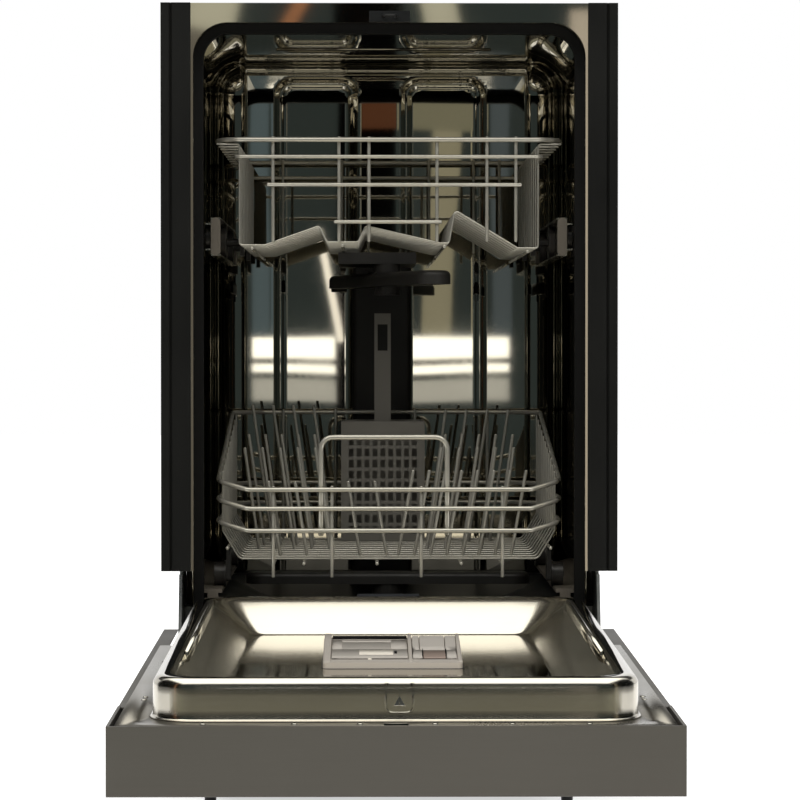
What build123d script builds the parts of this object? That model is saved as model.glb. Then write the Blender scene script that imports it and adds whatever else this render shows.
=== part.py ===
from build123d import *
import math
import os

# Slim built-in dishwasher with its door open and both racks in.
# Design frame: X right, Y back, Z up, y = 0 at the front of the side trims, z = 0 on the floor.
# The door is drawn closed and then swung open. All sizes are millimetres.

# Envelope, stock and clearances
WIDTH = 448.0
HEIGHT = 825.0
SIDE_ALLOWANCE = 30.0
TOP_ALLOWANCE = 17.0
CONNECTOR_Y = 513.0
SHEET = 1.2
PLATE = 3.0
MOULDING = 2.5
RUN_FIT = 0.06
GAP = 0.3
WELD = 0.05
SWING_GAP = 3.5

# Tub and front frame
TUB_HALF = WIDTH / 2 - SIDE_ALLOWANCE
TUB_TOP = HEIGHT - TOP_ALLOWANCE
TUB_BACK = 480.0
TUB_SEAT = 232.0
TUB_CORNER = 36.0
TUB_REAR_ROUND = 34.0
BEAD_WIDTH = 8.0
BEAD_HEIGHT = 3.0
BEAD_LOOP = 91.0
BEAD_ROUND = 18.0
BEAD_DROP = 18.0
BEAD_TOP = TUB_TOP - BEAD_DROP
BEAD_CENTRES = (-78.5, 64.5)
CEILING_BEAD_Y = 293.0
CEILING_BEAD_LENGTH = 228.0
TRIM_FACE = 4.0
TRIM_WIDTH = 29.0
TRIM_WALL = 2.5
TRIM_RETURN = 30.0
TRIM_LOW = 268.0
TRIM_GROOVE = 1.6
FLANGE_LIP = 1.5
OPENING_HALF = TUB_HALF - FLANGE_LIP
FLANGE_TOP_LIP = 2.0
OPENING_TOP = TUB_TOP - FLANGE_TOP_LIP
OPENING_CORNER = 34.0
TOP_RETURN = 40.0
WORKTOP_HOLE_R = 2.6
WORKTOP_HOLE_SPACING = 300.0
GASKET_THICK = 9.5
GASKET_DEPTH = 13.0
GASKET_STANDOFF = 4.0
JACKET_THICK = 7.0
JACKET_FRONT = 64.0
JACKET_BACK = 462.0

# Base
BASE_MARGIN = 9.0
BASE_HALF = TUB_HALF + BASE_MARGIN
BASE_BACK = 488.0
BASE_FLOOR = 40.0
FLOOR_SHEET = 2.0
FLOOR_LIP_Y = 42.0
BASIN_MARGIN = 16.0
BASIN_DEPTH = 24.0
BASIN_INSET = 62.0
SUMP_Y = 205.0
SUMP_R = 72.0
SUMP_FLANGE = 10.0
SUMP_LOW = 117.0
FILTER_Y = 172.0
FILTER_R = 33.0
FILTER_LOW = 140.0
FOOT_INSET = 23.0
FOOT_X = BASE_HALF - FOOT_INSET
FOOT_FRONT_Y = 84.0
FOOT_REAR_Y = 462.0
FOOT_PAD_R = 18.0
FOOT_PAD = 9.0
FOOT_STEM_R = 6.0
FOOT_STEM_TOP = 73.0
FOOT_BOSS_R = 14.0
DRAIN_X = -130.0
DRAIN_Z = 74.0
DRAIN_R = 9.5
HOSE_STANDOFF = 2.0
NECK_STEP = 1.5
INLET_X = 142.0
INLET_Z = 70.0
INLET_R = 13.2
GLAND_X = 62.0
GLAND_Z = 70.0
GLAND_R = 14.0
GLAND_BORE_R = 11.0

# Door, drawn closed
DOOR_OPEN = 91.0
DOOR_STANDOFF = 2.0
DOOR_THICK = 55.0
DOOR_LOW = 115.0
DOOR_HEADROOM = 3.0
HINGE_INSET = 22.0
HINGE_Z = 185.0
HINGE_PIN_R = 5.0
CONSOLE_HEIGHT = 120.0
LINER_MARGIN = 6.0
RIM_CLEARANCE = 2.0
RIM_HEIGHT = 33.0
RIM_LOW = 134.0
RIM_TOP_CLEARANCE = 9.0
RIM_CORNER = 34.0
RIM_EDGE = 7.0
RECESS_MARGIN = 12.5
RECESS_DEPTH = 24.0
RECESS_FALL = 9.0
RECESS_TAPER = 41.0
RECESS_LOW = 156.0
RECESS_RUN = 29.0
RECESS_HEAD = 40.0
RECESS_ROUND = 30.0
RECESS_FLOOR_ROUND = 16.0
ARM_LENGTH = 245.0
ARM_WIDTH = 32.0
DOOR_RAIL_INSET = 6.25
DOOR_RAIL_WIDTH = 4.5
DOOR_RAIL_TOP = 5.0
DOOR_RAIL_LOW = 214.0
DOOR_RAIL_HIGH = 640.0
HANDLE_WIDTH = 150.0
HANDLE_HEIGHT = 40.0
HANDLE_DEPTH = 26.0
BUTTON_R = 8.0
BUTTON_FLANGE = 2.0
BUTTON_PROUD = 1.5
BUTTON_TRAVEL = 1.5
BUTTON_DROP = 32.0
BUTTON_INSETS = {"power_button": -39.0, "program_button": 99.0, "start_button": 49.0}
PAD_THICK = 12.0
SCREW_R = 3.2
SCREW_HEAD = 1.2
SCREW_SHANK_R = 1.5

# Dispenser on the door liner
DISPENSER_HALF = 61.0
DISPENSER_LOW = 396.0
DISPENSER_HIGH = 506.0
DISPENSER_PROUD = 12.0
DISPENSER_SLOPE = 5.5
DISPENSER_CORNER = 5.0
DISPENSER_BODY = 29.0
DISPENSER_EDGE = 5.0
LID_THICK = 4.4
LID_PLAY = 0.4
LID_PIN_R = 1.6
LID_PIN_LENGTH = 1.4
LID_OPEN = 80.0
DETERGENT_X = (-54.0, 14.0)
RINSE_X = (17.5, 57.0)

# Latch
STRIKE_HALF = 20.0
STRIKE_DROP = 14.0
STRIKE_Z = HEIGHT - STRIKE_DROP
STRIKE_REACH = 20.0
STRIKE_WIRE_R = 1.6
STRIKE_SPAN = 12.0
SLOT_HALF = 9.5
SLOT_HEIGHT = 14.0
PAWL_HALF = 3.4
PAWL_RELEASE = 25.0

# Racks
RIM_WIRE_R = 2.5
SECOND_WIRE_R = 2.0
UPRIGHT_R = 1.75
FLOOR_WIRE_R = 1.5
TINE_R = 1.7
UPPER_FRONT = 60.0
UPPER_BACK = 455.0
UPPER_RIM_Z = 695.0
UPPER_SIDE_GAP = 22.0
UPPER_SECOND_Z = 678.0
UPPER_SECOND_INSET = 19.0
UPPER_WAVES = 10
UPPER_TRAVEL = 300.0
RAIL_Z = 598.0
RAIL_CLEARANCE = 1.1
RAIL_CHANNEL = 8.0
RAIL_SHEET = 1.5
RAIL_HALF_HEIGHT = 19.0
RAIL_OUTER_LIP = 5.6
RAIL_OUTER_HALF = 13.5
RAIL_FRONT = 55.0
RAIL_BACK = 452.0
RAIL_CAP = 3.0
ROLLER_AXLE_R = 4.0
WALL_ROLLER_Y = (75.0, 180.0)
SPRAY_X = 0.0
SPRAY_Y = 245.0
SPRAY_CLEARANCE = 16.5
SPRAY_WIDTH = 36.0
UPPER_ARM_TURN = 110.0
UPPER_ARM_LOW = 552.0
UPPER_ARM_HIGH = 566.0
LOWER_ARM_LOW = 238.0
LOWER_ARM_HIGH = 250.0
SPRAY_STEM_R = 11.0
PIPE_X = (-38.0, 28.0)
PIPE_FRONT = 448.0
PIPE_TOP = 586.0
LOWER_FRONT = 45.0
LOWER_BACK = 440.0
LOWER_CORNER = 32.0
LOWER_SIDE_GAP = 23.0
LOWER_FLAT_INSET = 30.0
LOWER_FRONT_WIRES = (346.0, 327.0, 305.0)
LOWER_CORNER_RISE = 9.0
LOWER_BACK_Z = 415.0
LOWER_FLOOR_Z = 275.0
LOWER_FLOOR_INSET = 21.0
LOWER_CHAMFER_RISE = 28.0
LOWER_CROSS = 11
LOWER_TRAVEL = 330.0
TRACK_TOP = 247.0
TRACK_REACH = 27.5
WHEEL_R = 11.5
WHEEL_FLANGE_R = 13.5
WHEEL_AXLE_R = 3.5
WHEEL_Y = (96.0, 389.0)
HANDLE_LOOP_X = (-68.0, 58.0)
HANDLE_LOOP_TOP = 398.0
HANDLE_LOOP_R = 2.7
BASKET_X = (-50.0, 41.0)
BASKET_Y = (340.0, 428.0)
BASKET_TOP = 407.0
BASKET_WALL = 2.5
BASKET_GRIP_TOP = 525.0
BASKET_GRIP_HALF = 9.0
BASKET_LIFT = 20.0

# Values that follow from the sizes above
HALF = WIDTH / 2
BUTTONS = {name: math.copysign(HALF, inset) - inset for name, inset in BUTTON_INSETS.items()}
LINER_Y = -DOOR_STANDOFF
FACE_Y = LINER_Y - DOOR_THICK
HINGE_Y = LINER_Y - HINGE_INSET
DOOR_TOP = HEIGHT - DOOR_HEADROOM
BUTTON_Z = DOOR_TOP - BUTTON_DROP
CONSOLE_LOW = DOOR_TOP - CONSOLE_HEIGHT
LINER_HALF = HALF - LINER_MARGIN
RIM_HALF = OPENING_HALF - RIM_CLEARANCE
RIM_HIGH = OPENING_TOP - RIM_TOP_CLEARANCE
RIM_Y = LINER_Y + RIM_HEIGHT
RECESS_Y = RIM_Y - RECESS_DEPTH
RECESS_HALF = RIM_HALF - RECESS_MARGIN
RECESS_FLOOR_LOW = RECESS_LOW + RECESS_RUN
RECESS_FLOOR_HIGH = RIM_HIGH - RECESS_MARGIN - RECESS_HEAD
RECESS_TILT = math.degrees(math.atan2(RECESS_FALL, RECESS_FLOOR_HIGH - RECESS_FLOOR_LOW))
DOOR_RAIL_X = RECESS_HALF - DOOR_RAIL_INSET
BASE_FRONT = HINGE_Y + math.hypot(RIM_Y - HINGE_Y, HINGE_Z - RIM_LOW) + SWING_GAP + SHEET
FLANGE_Y = TRIM_FACE
TUB_FRONT = TRIM_FACE + SHEET
BRACKET_X = BASE_HALF
ARM_X = BRACKET_X - GAP - PLATE
WHEEL_Z = TRACK_TOP + GAP + WHEEL_R
TRACK_INNER_X = TUB_HALF - TRACK_REACH
SPRAY_LENGTH = 2 * (TRACK_INNER_X - SPRAY_CLEARANCE)
RAIL_OUTER_X = TUB_HALF - GAP - GASKET_THICK - RAIL_CLEARANCE
RAIL_INNER_X = RAIL_OUTER_X - RAIL_OUTER_LIP - RAIL_SHEET - RAIL_CHANNEL
UPPER_RIM_HALF = TUB_HALF - UPPER_SIDE_GAP
UPPER_SECOND_HALF = UPPER_RIM_HALF - UPPER_SECOND_INSET
LOWER_HALF = TUB_HALF - LOWER_SIDE_GAP
LOWER_FLAT_HALF = LOWER_HALF - LOWER_FLAT_INSET
LOWER_FLOOR_HALF = LOWER_HALF - LOWER_FLOOR_INSET
CROSS_HALF = LOWER_HALF - RIM_WIRE_R - FLOOR_WIRE_R - WELD
WAVE_HALF = UPPER_SECOND_HALF - SECOND_WIRE_R - FLOOR_WIRE_R - WELD
ROLLER_R = RAIL_HALF_HEIGHT - RAIL_SHEET - GAP
WALL_ROLLER_R = RAIL_OUTER_HALF - RAIL_SHEET - GAP
LID_AXIS_Y = RECESS_Y + DISPENSER_PROUD - GAP - LID_THICK / 2
LID_LOW = DISPENSER_LOW + DISPENSER_EDGE + 5.0
LID_AXIS_Z = LID_LOW + GAP + LID_THICK / 2
LID_HIGH = DISPENSER_HIGH - DISPENSER_EDGE - 9.0
PAWL_AXIS_Y = LINER_Y - 26.0
PAWL_AXIS_Z = STRIKE_Z - 13.0
SPRAY_STEM_TOP = LOWER_ARM_HIGH - 4.0
DOOR_SWING = Pos(0, HINGE_Y, HINGE_Z) * Rot(X=DOOR_OPEN) * Pos(0, -HINGE_Y, -HINGE_Z)


def block(x0, x1, y0, y1, z0, z1):
    """Box between two opposite corners."""
    centre = Pos((x0 + x1) / 2, (y0 + y1) / 2, (z0 + z1) / 2)
    return centre * Box(x1 - x0, y1 - y0, z1 - z0)


def tube_x(x0, x1, y, z, radius):
    """Round bar along X."""
    return Pos((x0 + x1) / 2, y, z) * Rot(Y=90) * Cylinder(radius, x1 - x0)


def tube_y(x, y0, y1, z, radius):
    """Round bar along Y."""
    return Pos(x, (y0 + y1) / 2, z) * Rot(X=90) * Cylinder(radius, y1 - y0)


def tube_z(x, y, z0, z1, radius):
    """Round bar along Z."""
    return Pos(x, y, (z0 + z1) / 2) * Cylinder(radius, z1 - z0)


def upright_section(half_x, z0, z1, y, corner):
    """Rounded rectangle that stands in the plane at depth y."""
    return Plane.XZ.offset(-y) * Pos(0, (z0 + z1) / 2) * RectangleRounded(2 * half_x, z1 - z0, corner)


def rounded_prism(half_x, z0, z1, y0, y1, corner):
    """Prism along Y with a rounded-rectangle section."""
    return extrude(upright_section(half_x, z0, z1, y1, corner), y1 - y0)


def side_plate(points, x0, x1):
    """Flat plate between x0 and x1 with its outline given as (y, z) points."""
    outline = make_face(Polyline(*points, close=True))
    return Pos(x0, 0, 0) * extrude(Plane.YZ * outline, x1 - x0)


def front_profile(points, y0, y1):
    """Bar along Y with its section given as (x, z) points."""
    outline = make_face(Polyline(*points, close=True))
    return extrude(Plane.XZ.offset(-y1) * outline, y1 - y0)


def pair(shape):
    """A right-hand piece and its mirror image on the left."""
    return [shape, mirror(shape, about=Plane.YZ)]


def rod(start, end, radius):
    """Straight round wire between two points."""
    axis = Vector(*end) - Vector(*start)
    return Solid.make_cylinder(radius, axis.length, Plane(origin=start, z_dir=axis))


def swept(edge, radius):
    """Round wire along one edge or path."""
    section = Plane(origin=edge @ 0, z_dir=edge % 0) * Circle(radius)
    return sweep(section, edge)


def bent_wire(points, bend, radius):
    """One bent round wire through the points."""
    return swept(FilletPolyline(*points, radius=bend), radius)


def wire_runs(points, bend, radius, close=False):
    """A bent wire as its straight runs and its bends, butted end to end."""
    path = FilletPolyline(*points, radius=bend, close=close)
    return [swept(edge, radius) for edge in path.edges()]


def spaced(first, last, count):
    """Evenly spaced values from first to last."""
    return [first + (last - first) * i / (count - 1) for i in range(count)]


def open_door(shapes):
    """Door pieces swung from closed to open."""
    return [DOOR_SWING * shape for shape in shapes]


def tub_block(wall):
    """Space of the tub, grown by a wall thickness, with rounded edges at the back."""
    body = rounded_prism(
        TUB_HALF + wall, BASE_FLOOR, TUB_TOP + wall, TUB_FRONT, TUB_BACK + wall, TUB_CORNER + wall
    )
    back = body.faces().sort_by(Axis.Y)[-1]
    return fillet(back.edges(), TUB_REAR_ROUND + wall)


def below(z):
    """Everything below a height, for trimming."""
    return block(-WIDTH, WIDTH, -WIDTH, CONNECTOR_Y + WIDTH, -HEIGHT, z)


def tub_shell():
    """Stainless tub: walls, ceiling and back, with the pressed beads."""
    shell = tub_block(SHEET) - tub_block(0)
    for centre in BEAD_CENTRES:
        loop_low = TUB_SEAT - BEAD_LOOP
        height = BEAD_TOP - loop_low
        outer = RectangleRounded(BEAD_LOOP, height, BEAD_ROUND)
        inner = RectangleRounded(BEAD_LOOP - 2 * BEAD_WIDTH, height - 2 * BEAD_WIDTH, BEAD_ROUND - BEAD_WIDTH)
        place = Plane.XZ.offset(-TUB_BACK - SHEET / 2) * Pos(centre, (BEAD_TOP + loop_low) / 2)
        shell += extrude(place * (outer - inner), BEAD_HEIGHT + SHEET / 2)
    half = CEILING_BEAD_LENGTH / 2
    shell += block(
        -half, half, CEILING_BEAD_Y - BEAD_WIDTH / 2, CEILING_BEAD_Y + BEAD_WIDTH / 2,
        TUB_TOP - BEAD_HEIGHT, TUB_TOP + SHEET / 2,
    )
    return shell - below(TUB_SEAT)


def front_flange():
    """Polished frame round the opening, with a top return for the worktop screws."""
    half = HALF - TRIM_WALL - GAP
    frame = block(-half, half, FLANGE_Y, FLANGE_Y + SHEET, TRIM_LOW, HEIGHT)
    frame += block(-half, half, FLANGE_Y, FLANGE_Y + TOP_RETURN, HEIGHT - SHEET, HEIGHT)
    opening = rounded_prism(
        OPENING_HALF, BASE_FLOOR, OPENING_TOP, FLANGE_Y - SHEET, FLANGE_Y + 2 * SHEET, OPENING_CORNER
    )
    frame -= opening
    for x in (-WORKTOP_HOLE_SPACING / 2, WORKTOP_HOLE_SPACING / 2):
        frame -= tube_z(x, FLANGE_Y + TOP_RETURN / 2, HEIGHT - 2 * SHEET, HEIGHT + SHEET, WORKTOP_HOLE_R)
    return frame


def side_trim():
    """Black strip on the right of the opening, with a groove down its face."""
    inner = HALF - TRIM_WIDTH
    groove = HALF - TRIM_WIDTH / 3
    points = [
        (inner, 0), (groove - TRIM_GROOVE, 0), (groove, TRIM_GROOVE), (groove + TRIM_GROOVE, 0), (HALF, 0),
        (HALF, TRIM_RETURN), (HALF - TRIM_WALL, TRIM_RETURN), (HALF - TRIM_WALL, TRIM_FACE), (inner, TRIM_FACE),
    ]
    outline = make_face(Polyline(*points, close=True))
    return Pos(0, 0, TRIM_LOW) * extrude(outline, HEIGHT - TRIM_LOW)


def door_gasket():
    """Rubber seal round the inside of the opening, which the door rim meets."""
    front = RIM_Y + GASKET_STANDOFF
    back = front + GASKET_DEPTH
    outer = TUB_HALF - GAP
    inner = outer - GASKET_THICK
    top = TUB_TOP - GAP
    ring = rounded_prism(outer, BASE_FLOOR, top, front, back, TUB_CORNER - GAP)
    corner = TUB_CORNER - GAP - GASKET_THICK
    ring -= rounded_prism(inner, BASE_FLOOR - SHEET, top - GASKET_THICK, front - SHEET, back + SHEET, corner)
    return ring - below(TUB_SEAT + GAP)


def insulation_jacket():
    """Felt blanket over the sides and top of the tub."""
    skin = SHEET + GAP
    outer = skin + JACKET_THICK
    jacket = rounded_prism(
        TUB_HALF + outer, BASE_FLOOR, TUB_TOP + outer, JACKET_FRONT, JACKET_BACK, TUB_CORNER + outer
    )
    jacket -= rounded_prism(
        TUB_HALF + skin, BASE_FLOOR, TUB_TOP + skin,
        JACKET_FRONT - SHEET, JACKET_BACK + SHEET, TUB_CORNER + skin,
    )
    return jacket - below(TUB_SEAT)


def basin(wall):
    """Tapered hollow of the tub floor, grown by a wall."""
    top = TUB_SEAT - wall
    front = BASE_FRONT + BASIN_MARGIN - wall
    back = TUB_BACK - BASIN_MARGIN + wall
    half = TUB_HALF - BASIN_MARGIN / 2 + wall
    mouth = Pos(0, (front + back) / 2, top) * Rectangle(2 * half, back - front)
    foot_size = (2 * (half - BASIN_INSET), back - front - 2 * BASIN_INSET)
    foot = Pos(0, (front + back) / 2, top - BASIN_DEPTH) * Rectangle(*foot_size)
    return loft([mouth, foot], ruled=True)


def tub_floor():
    """Floor pan: a seat for the tub walls and a basin that drains to the sump."""
    pan = block(-BASE_HALF, BASE_HALF, FLOOR_LIP_Y, BASE_BACK, TUB_SEAT - FLOOR_SHEET, TUB_SEAT)
    pan += basin(FLOOR_SHEET)
    pan -= basin(0)
    return pan - tube_z(0, SUMP_Y, SUMP_LOW, TUB_SEAT, SUMP_R)


def base_tray():
    """Open base box with bosses for the feet and holes for the connections."""
    tray = block(-BASE_HALF, BASE_HALF, BASE_FRONT, BASE_BACK, BASE_FLOOR, TUB_SEAT - FLOOR_SHEET)
    tray -= block(
        -BASE_HALF + PLATE, BASE_HALF - PLATE, BASE_FRONT + PLATE, BASE_BACK - PLATE,
        BASE_FLOOR + PLATE, TUB_SEAT,
    )
    for x in (-FOOT_X, FOOT_X):
        for y in (FOOT_FRONT_Y, FOOT_REAR_Y):
            tray += tube_z(x, y, BASE_FLOOR, FOOT_STEM_TOP, FOOT_BOSS_R)
            tray -= tube_z(x, y, BASE_FLOOR - PLATE, FOOT_STEM_TOP + PLATE, FOOT_STEM_R + RUN_FIT)
    for x, z, radius in ((DRAIN_X, DRAIN_Z, DRAIN_R), (INLET_X, INLET_Z, INLET_R), (GLAND_X, GLAND_Z, GLAND_R)):
        tray -= tube_y(x, BASE_BACK - 2 * PLATE, BASE_BACK + PLATE, z, radius + GAP)
    return tray


def kick_plate():
    """Toe panel in front of the base."""
    return block(
        -BASE_HALF, BASE_HALF, BASE_FRONT - SHEET, BASE_FRONT, BASE_FLOOR, TUB_SEAT - FLOOR_SHEET - GAP
    )


def levelling_foot(x, y):
    """Screw foot: round pad, hexagon and stem."""
    foot = tube_z(x, y, 0, FOOT_PAD, FOOT_PAD_R)
    foot = fillet(foot.edges().group_by(Axis.Z)[-1], FOOT_PAD / 3)
    nut_top = (FOOT_PAD + BASE_FLOOR) / 2
    nut = Pos(x, y, FOOT_PAD) * extrude(RegularPolygon(FOOT_STEM_R * 1.6, 6), nut_top - FOOT_PAD)
    return foot + nut + tube_z(x, y, FOOT_PAD, FOOT_STEM_TOP, FOOT_STEM_R)


def hinge_bracket():
    """Hinge ear on the right of the base, with its pivot pin riveted in."""
    ear = HINGE_PIN_R + 13.0
    low = HINGE_Z - ear
    neck_front = FLANGE_Y + 2 * SHEET
    points = [
        (HINGE_Y, low), (BASE_FRONT + 2 * ear, HINGE_Z - HINGE_INSET - PLATE),
        (BASE_FRONT + 2 * ear, TUB_SEAT - PLATE),
        (BASE_FRONT, TRIM_LOW + ear), (neck_front, TRIM_LOW + ear), (neck_front, TRIM_LOW - PLATE),
        (HINGE_Y + ear, TRIM_LOW - PLATE), (HINGE_Y, HINGE_Z + ear),
    ]
    plate = side_plate(points, BRACKET_X, BRACKET_X + PLATE)
    plate += tube_x(BRACKET_X, BRACKET_X + PLATE, HINGE_Y, HINGE_Z, ear)
    return plate + tube_x(ARM_X - PLATE, BRACKET_X + 2 * PLATE, HINGE_Y, HINGE_Z, HINGE_PIN_R)


def hinge_cassette():
    """Closed box on the right of the base that holds the door's balance spring."""
    low = BASE_FLOOR + 2 * FOOT_BOSS_R
    high = HINGE_Z - HINGE_INSET - 3 * PLATE
    front = BASE_FRONT + FOOT_BOSS_R
    box = block(BASE_HALF, HALF - 2 * PLATE, front, front + ARM_LENGTH, low, high)
    return fillet(box.edges().filter_by(Axis.Y), PLATE)


def sump_bowl():
    """Sump under the floor, with the filter seat and the lower arm's standpipe."""
    floor_under = TUB_SEAT - FLOOR_SHEET - BASIN_DEPTH
    bowl = tube_z(0, SUMP_Y, SUMP_LOW, floor_under, SUMP_R + PLATE)
    bowl += tube_z(0, SUMP_Y, floor_under - PLATE, floor_under, SUMP_R + SUMP_FLANGE)
    bowl -= tube_z(0, SUMP_Y, SUMP_LOW + PLATE, floor_under + PLATE, SUMP_R)
    seat = tube_z(0, FILTER_Y, SUMP_LOW + PLATE, FILTER_LOW + FILTER_R / 2, FILTER_R + PLATE)
    seat -= tube_z(0, FILTER_Y, FILTER_LOW, TUB_SEAT, FILTER_R + RUN_FIT)
    stem = tube_z(SPRAY_X, SPRAY_Y, SUMP_LOW + PLATE, SPRAY_STEM_TOP, SPRAY_STEM_R)
    stem -= tube_z(SPRAY_X, SPRAY_Y, SUMP_LOW + 2 * PLATE, SPRAY_STEM_TOP + PLATE, SPRAY_STEM_R - PLATE)
    return bowl + seat + stem


def filter_cup():
    """Round filter with a finger bridge, twisted to lock."""
    top = TUB_SEAT
    cup = tube_z(0, FILTER_Y, FILTER_LOW + GAP, top - 2 * PLATE, FILTER_R)
    cup -= tube_z(0, FILTER_Y, FILTER_LOW + PLATE, top, FILTER_R - MOULDING)
    grip = block(-FILTER_R + 1.0, FILTER_R - 1.0, FILTER_Y - PLATE, FILTER_Y + PLATE, top - 6 * PLATE, top)
    return cup + grip


def spray_arm(low, high, bore_r, bore_top, hub_low, turn=0.0):
    """Hollow-looking rotor blade with a hub and its bearing bore."""
    slot = extrude(SlotOverall(SPRAY_LENGTH, SPRAY_WIDTH), high - low)
    blade = Pos(SPRAY_X, SPRAY_Y, low) * Rot(Z=turn) * slot
    blade = fillet(blade.edges().group_by(Axis.Z)[-1], (high - low) * 0.4)
    hub = tube_z(SPRAY_X, SPRAY_Y, hub_low, high, bore_r + PLATE + MOULDING)
    return blade + hub - tube_z(SPRAY_X, SPRAY_Y, hub_low - PLATE, bore_top, bore_r)


def circulation_pump():
    """Motor and pump housing beside the sump, on two legs."""
    x = SUMP_R + PLATE + GAP
    z = SUMP_LOW + 25.0
    radius = 42.0
    length = 100.0
    pump = tube_x(x, x + length, SUMP_Y, z, radius * 0.6)
    pump += tube_x(x + 12.0, x + length, SUMP_Y, z, radius)
    for leg in (x + 30.0, x + 75.0):
        pump += block(leg, leg + 10.0, SUMP_Y - radius * 0.7, SUMP_Y + radius * 0.7, BASE_FLOOR + PLATE, z)
    return pump


def drain_pump():
    """Drain pump on the left of the sump, with its outlet through the rear wall."""
    x = -SUMP_R - PLATE - GAP
    z = SUMP_LOW + 28.0
    pump = tube_x(x - 80.0, x, SUMP_Y, z, 26.0)
    pump += block(x - 60.0, x - 45.0, SUMP_Y - 18.0, SUMP_Y + 18.0, BASE_FLOOR + PLATE, z)
    pump += tube_z(DRAIN_X, SUMP_Y, DRAIN_Z - DRAIN_R, z, DRAIN_R)
    outside = BASE_BACK + HOSE_STANDOFF
    pump += tube_y(DRAIN_X, SUMP_Y, outside, DRAIN_Z, DRAIN_R - NECK_STEP)
    return pump + tube_y(DRAIN_X, outside, CONNECTOR_Y, DRAIN_Z, DRAIN_R)


def inlet_valve():
    """Water valve inside the rear wall, with its threaded inlet."""
    inner = BASE_BACK - PLATE
    valve = block(INLET_X - 22.0, INLET_X + 22.0, inner - 45.0, inner, BASE_FLOOR + PLATE, INLET_Z + 25.0)
    outside = BASE_BACK + HOSE_STANDOFF
    valve += tube_y(INLET_X, inner, outside, INLET_Z, INLET_R - NECK_STEP)
    return valve + tube_y(INLET_X, outside, CONNECTOR_Y - 3.0, INLET_Z, INLET_R)


def junction_box():
    """Terminal box inside the rear wall, with its cable gland."""
    inner = BASE_BACK - PLATE
    box = block(GLAND_X - 32.0, GLAND_X + 32.0, inner - 45.0, inner, BASE_FLOOR + PLATE, GLAND_Z + 25.0)
    box += tube_y(GLAND_X, inner, CONNECTOR_Y - 13.0, GLAND_Z, GLAND_R)
    return box - tube_y(GLAND_X, inner - 15.0, CONNECTOR_Y, GLAND_Z, GLAND_BORE_R)


def roller_track():
    """Ledge on the right wall that the lower wheels run on, with its end block."""
    front = RIM_Y + GASKET_STANDOFF + GASKET_DEPTH + GAP
    back = TUB_BACK - TUB_REAR_ROUND - MOULDING
    ledge = block(TRACK_INNER_X, TUB_HALF, front, back, TRACK_TOP - 4.0, TRACK_TOP)
    return ledge + block(TRACK_INNER_X + 4.0, TUB_HALF - 13.0, front, front + 10.0, TUB_SEAT + GAP, TRACK_TOP)


def rail_support(y):
    """Wall plate on the right with the axle of one rail roller."""
    tall = RAIL_OUTER_HALF + 2.0
    plate = block(TUB_HALF - PLATE, TUB_HALF, y - tall, y + tall, RAIL_Z - tall, RAIL_Z + tall)
    inner = RAIL_INNER_X + RAIL_CHANNEL + RAIL_SHEET + 1.0
    return plate + tube_x(inner, TUB_HALF - PLATE, y, RAIL_Z, ROLLER_AXLE_R)


def wall_roller(y):
    """Roller on the right wall that carries the rail."""
    outer = RAIL_INNER_X + RAIL_CHANNEL + RAIL_SHEET + RAIL_OUTER_LIP
    inner = outer - RAIL_OUTER_LIP + 1.5
    wheel = tube_x(inner, outer, y, RAIL_Z, WALL_ROLLER_R)
    return wheel - tube_x(inner - PLATE, outer + PLATE, y, RAIL_Z, ROLLER_AXLE_R + RUN_FIT)


def rack_rail():
    """Right-hand telescopic rail: a channel for the rack and a smaller one for the wall rollers."""
    x0 = RAIL_INNER_X
    x1 = x0 + RAIL_CHANNEL
    x2 = x1 + RAIL_SHEET
    x3 = x2 + RAIL_OUTER_LIP
    high = RAIL_HALF_HEIGHT
    low = high - RAIL_SHEET
    lip_high = RAIL_OUTER_HALF
    lip_low = lip_high - RAIL_SHEET
    half = [
        (x0, high), (x2, high), (x2, lip_high), (x3, lip_high), (x3, lip_low), (x2, lip_low),
    ]
    points = half + [(x, -z) for x, z in reversed(half)]
    points += [(x0, -low), (x1, -low), (x1, low), (x0, low)]
    return front_profile([(x, RAIL_Z + z) for x, z in points], RAIL_FRONT, RAIL_BACK)


def rail_cap(y):
    """Pill-shaped cap on one end of the right rail."""
    wide = RAIL_CHANNEL + RAIL_SHEET
    pill = RectangleRounded(wide, 2 * RAIL_HALF_HEIGHT, wide / 2 - WELD)
    place = Plane.XZ.offset(-y - RAIL_CAP) * Pos(RAIL_INNER_X + wide / 2, RAIL_Z)
    return extrude(place * pill, RAIL_CAP)


def inner_pipe():
    """Water duct up the back wall, with the docking mouth of the upper arm."""
    back = TUB_BACK - BEAD_HEIGHT - GAP
    pipe = block(*PIPE_X, PIPE_FRONT, back, TUB_SEAT, PIPE_TOP)
    pipe = fillet(pipe.edges().filter_by(Axis.Z), 6.0)
    middle = sum(PIPE_X) / 2
    return pipe - block(
        middle - 15.0, middle + 15.0, PIPE_FRONT - PLATE, back - 9.0, PIPE_TOP - 16.0, PIPE_TOP - 6.0
    )


def latch_strike():
    """Strike plate on the top flange with the wire loop that the door latch holds."""
    top = HEIGHT - DOOR_HEADROOM - 5.0
    plate = block(-STRIKE_HALF, STRIKE_HALF, 0, FLANGE_Y, OPENING_TOP + GAP, top)
    half = STRIKE_SPAN / 2
    tip = FLANGE_Y - STRIKE_REACH
    points = [(-half, 1.0, STRIKE_Z), (-half, tip, STRIKE_Z), (half, tip, STRIKE_Z), (half, 1.0, STRIKE_Z)]
    return plate + bent_wire(points, STRIKE_WIRE_R * 1.5, STRIKE_WIRE_R)


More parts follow.
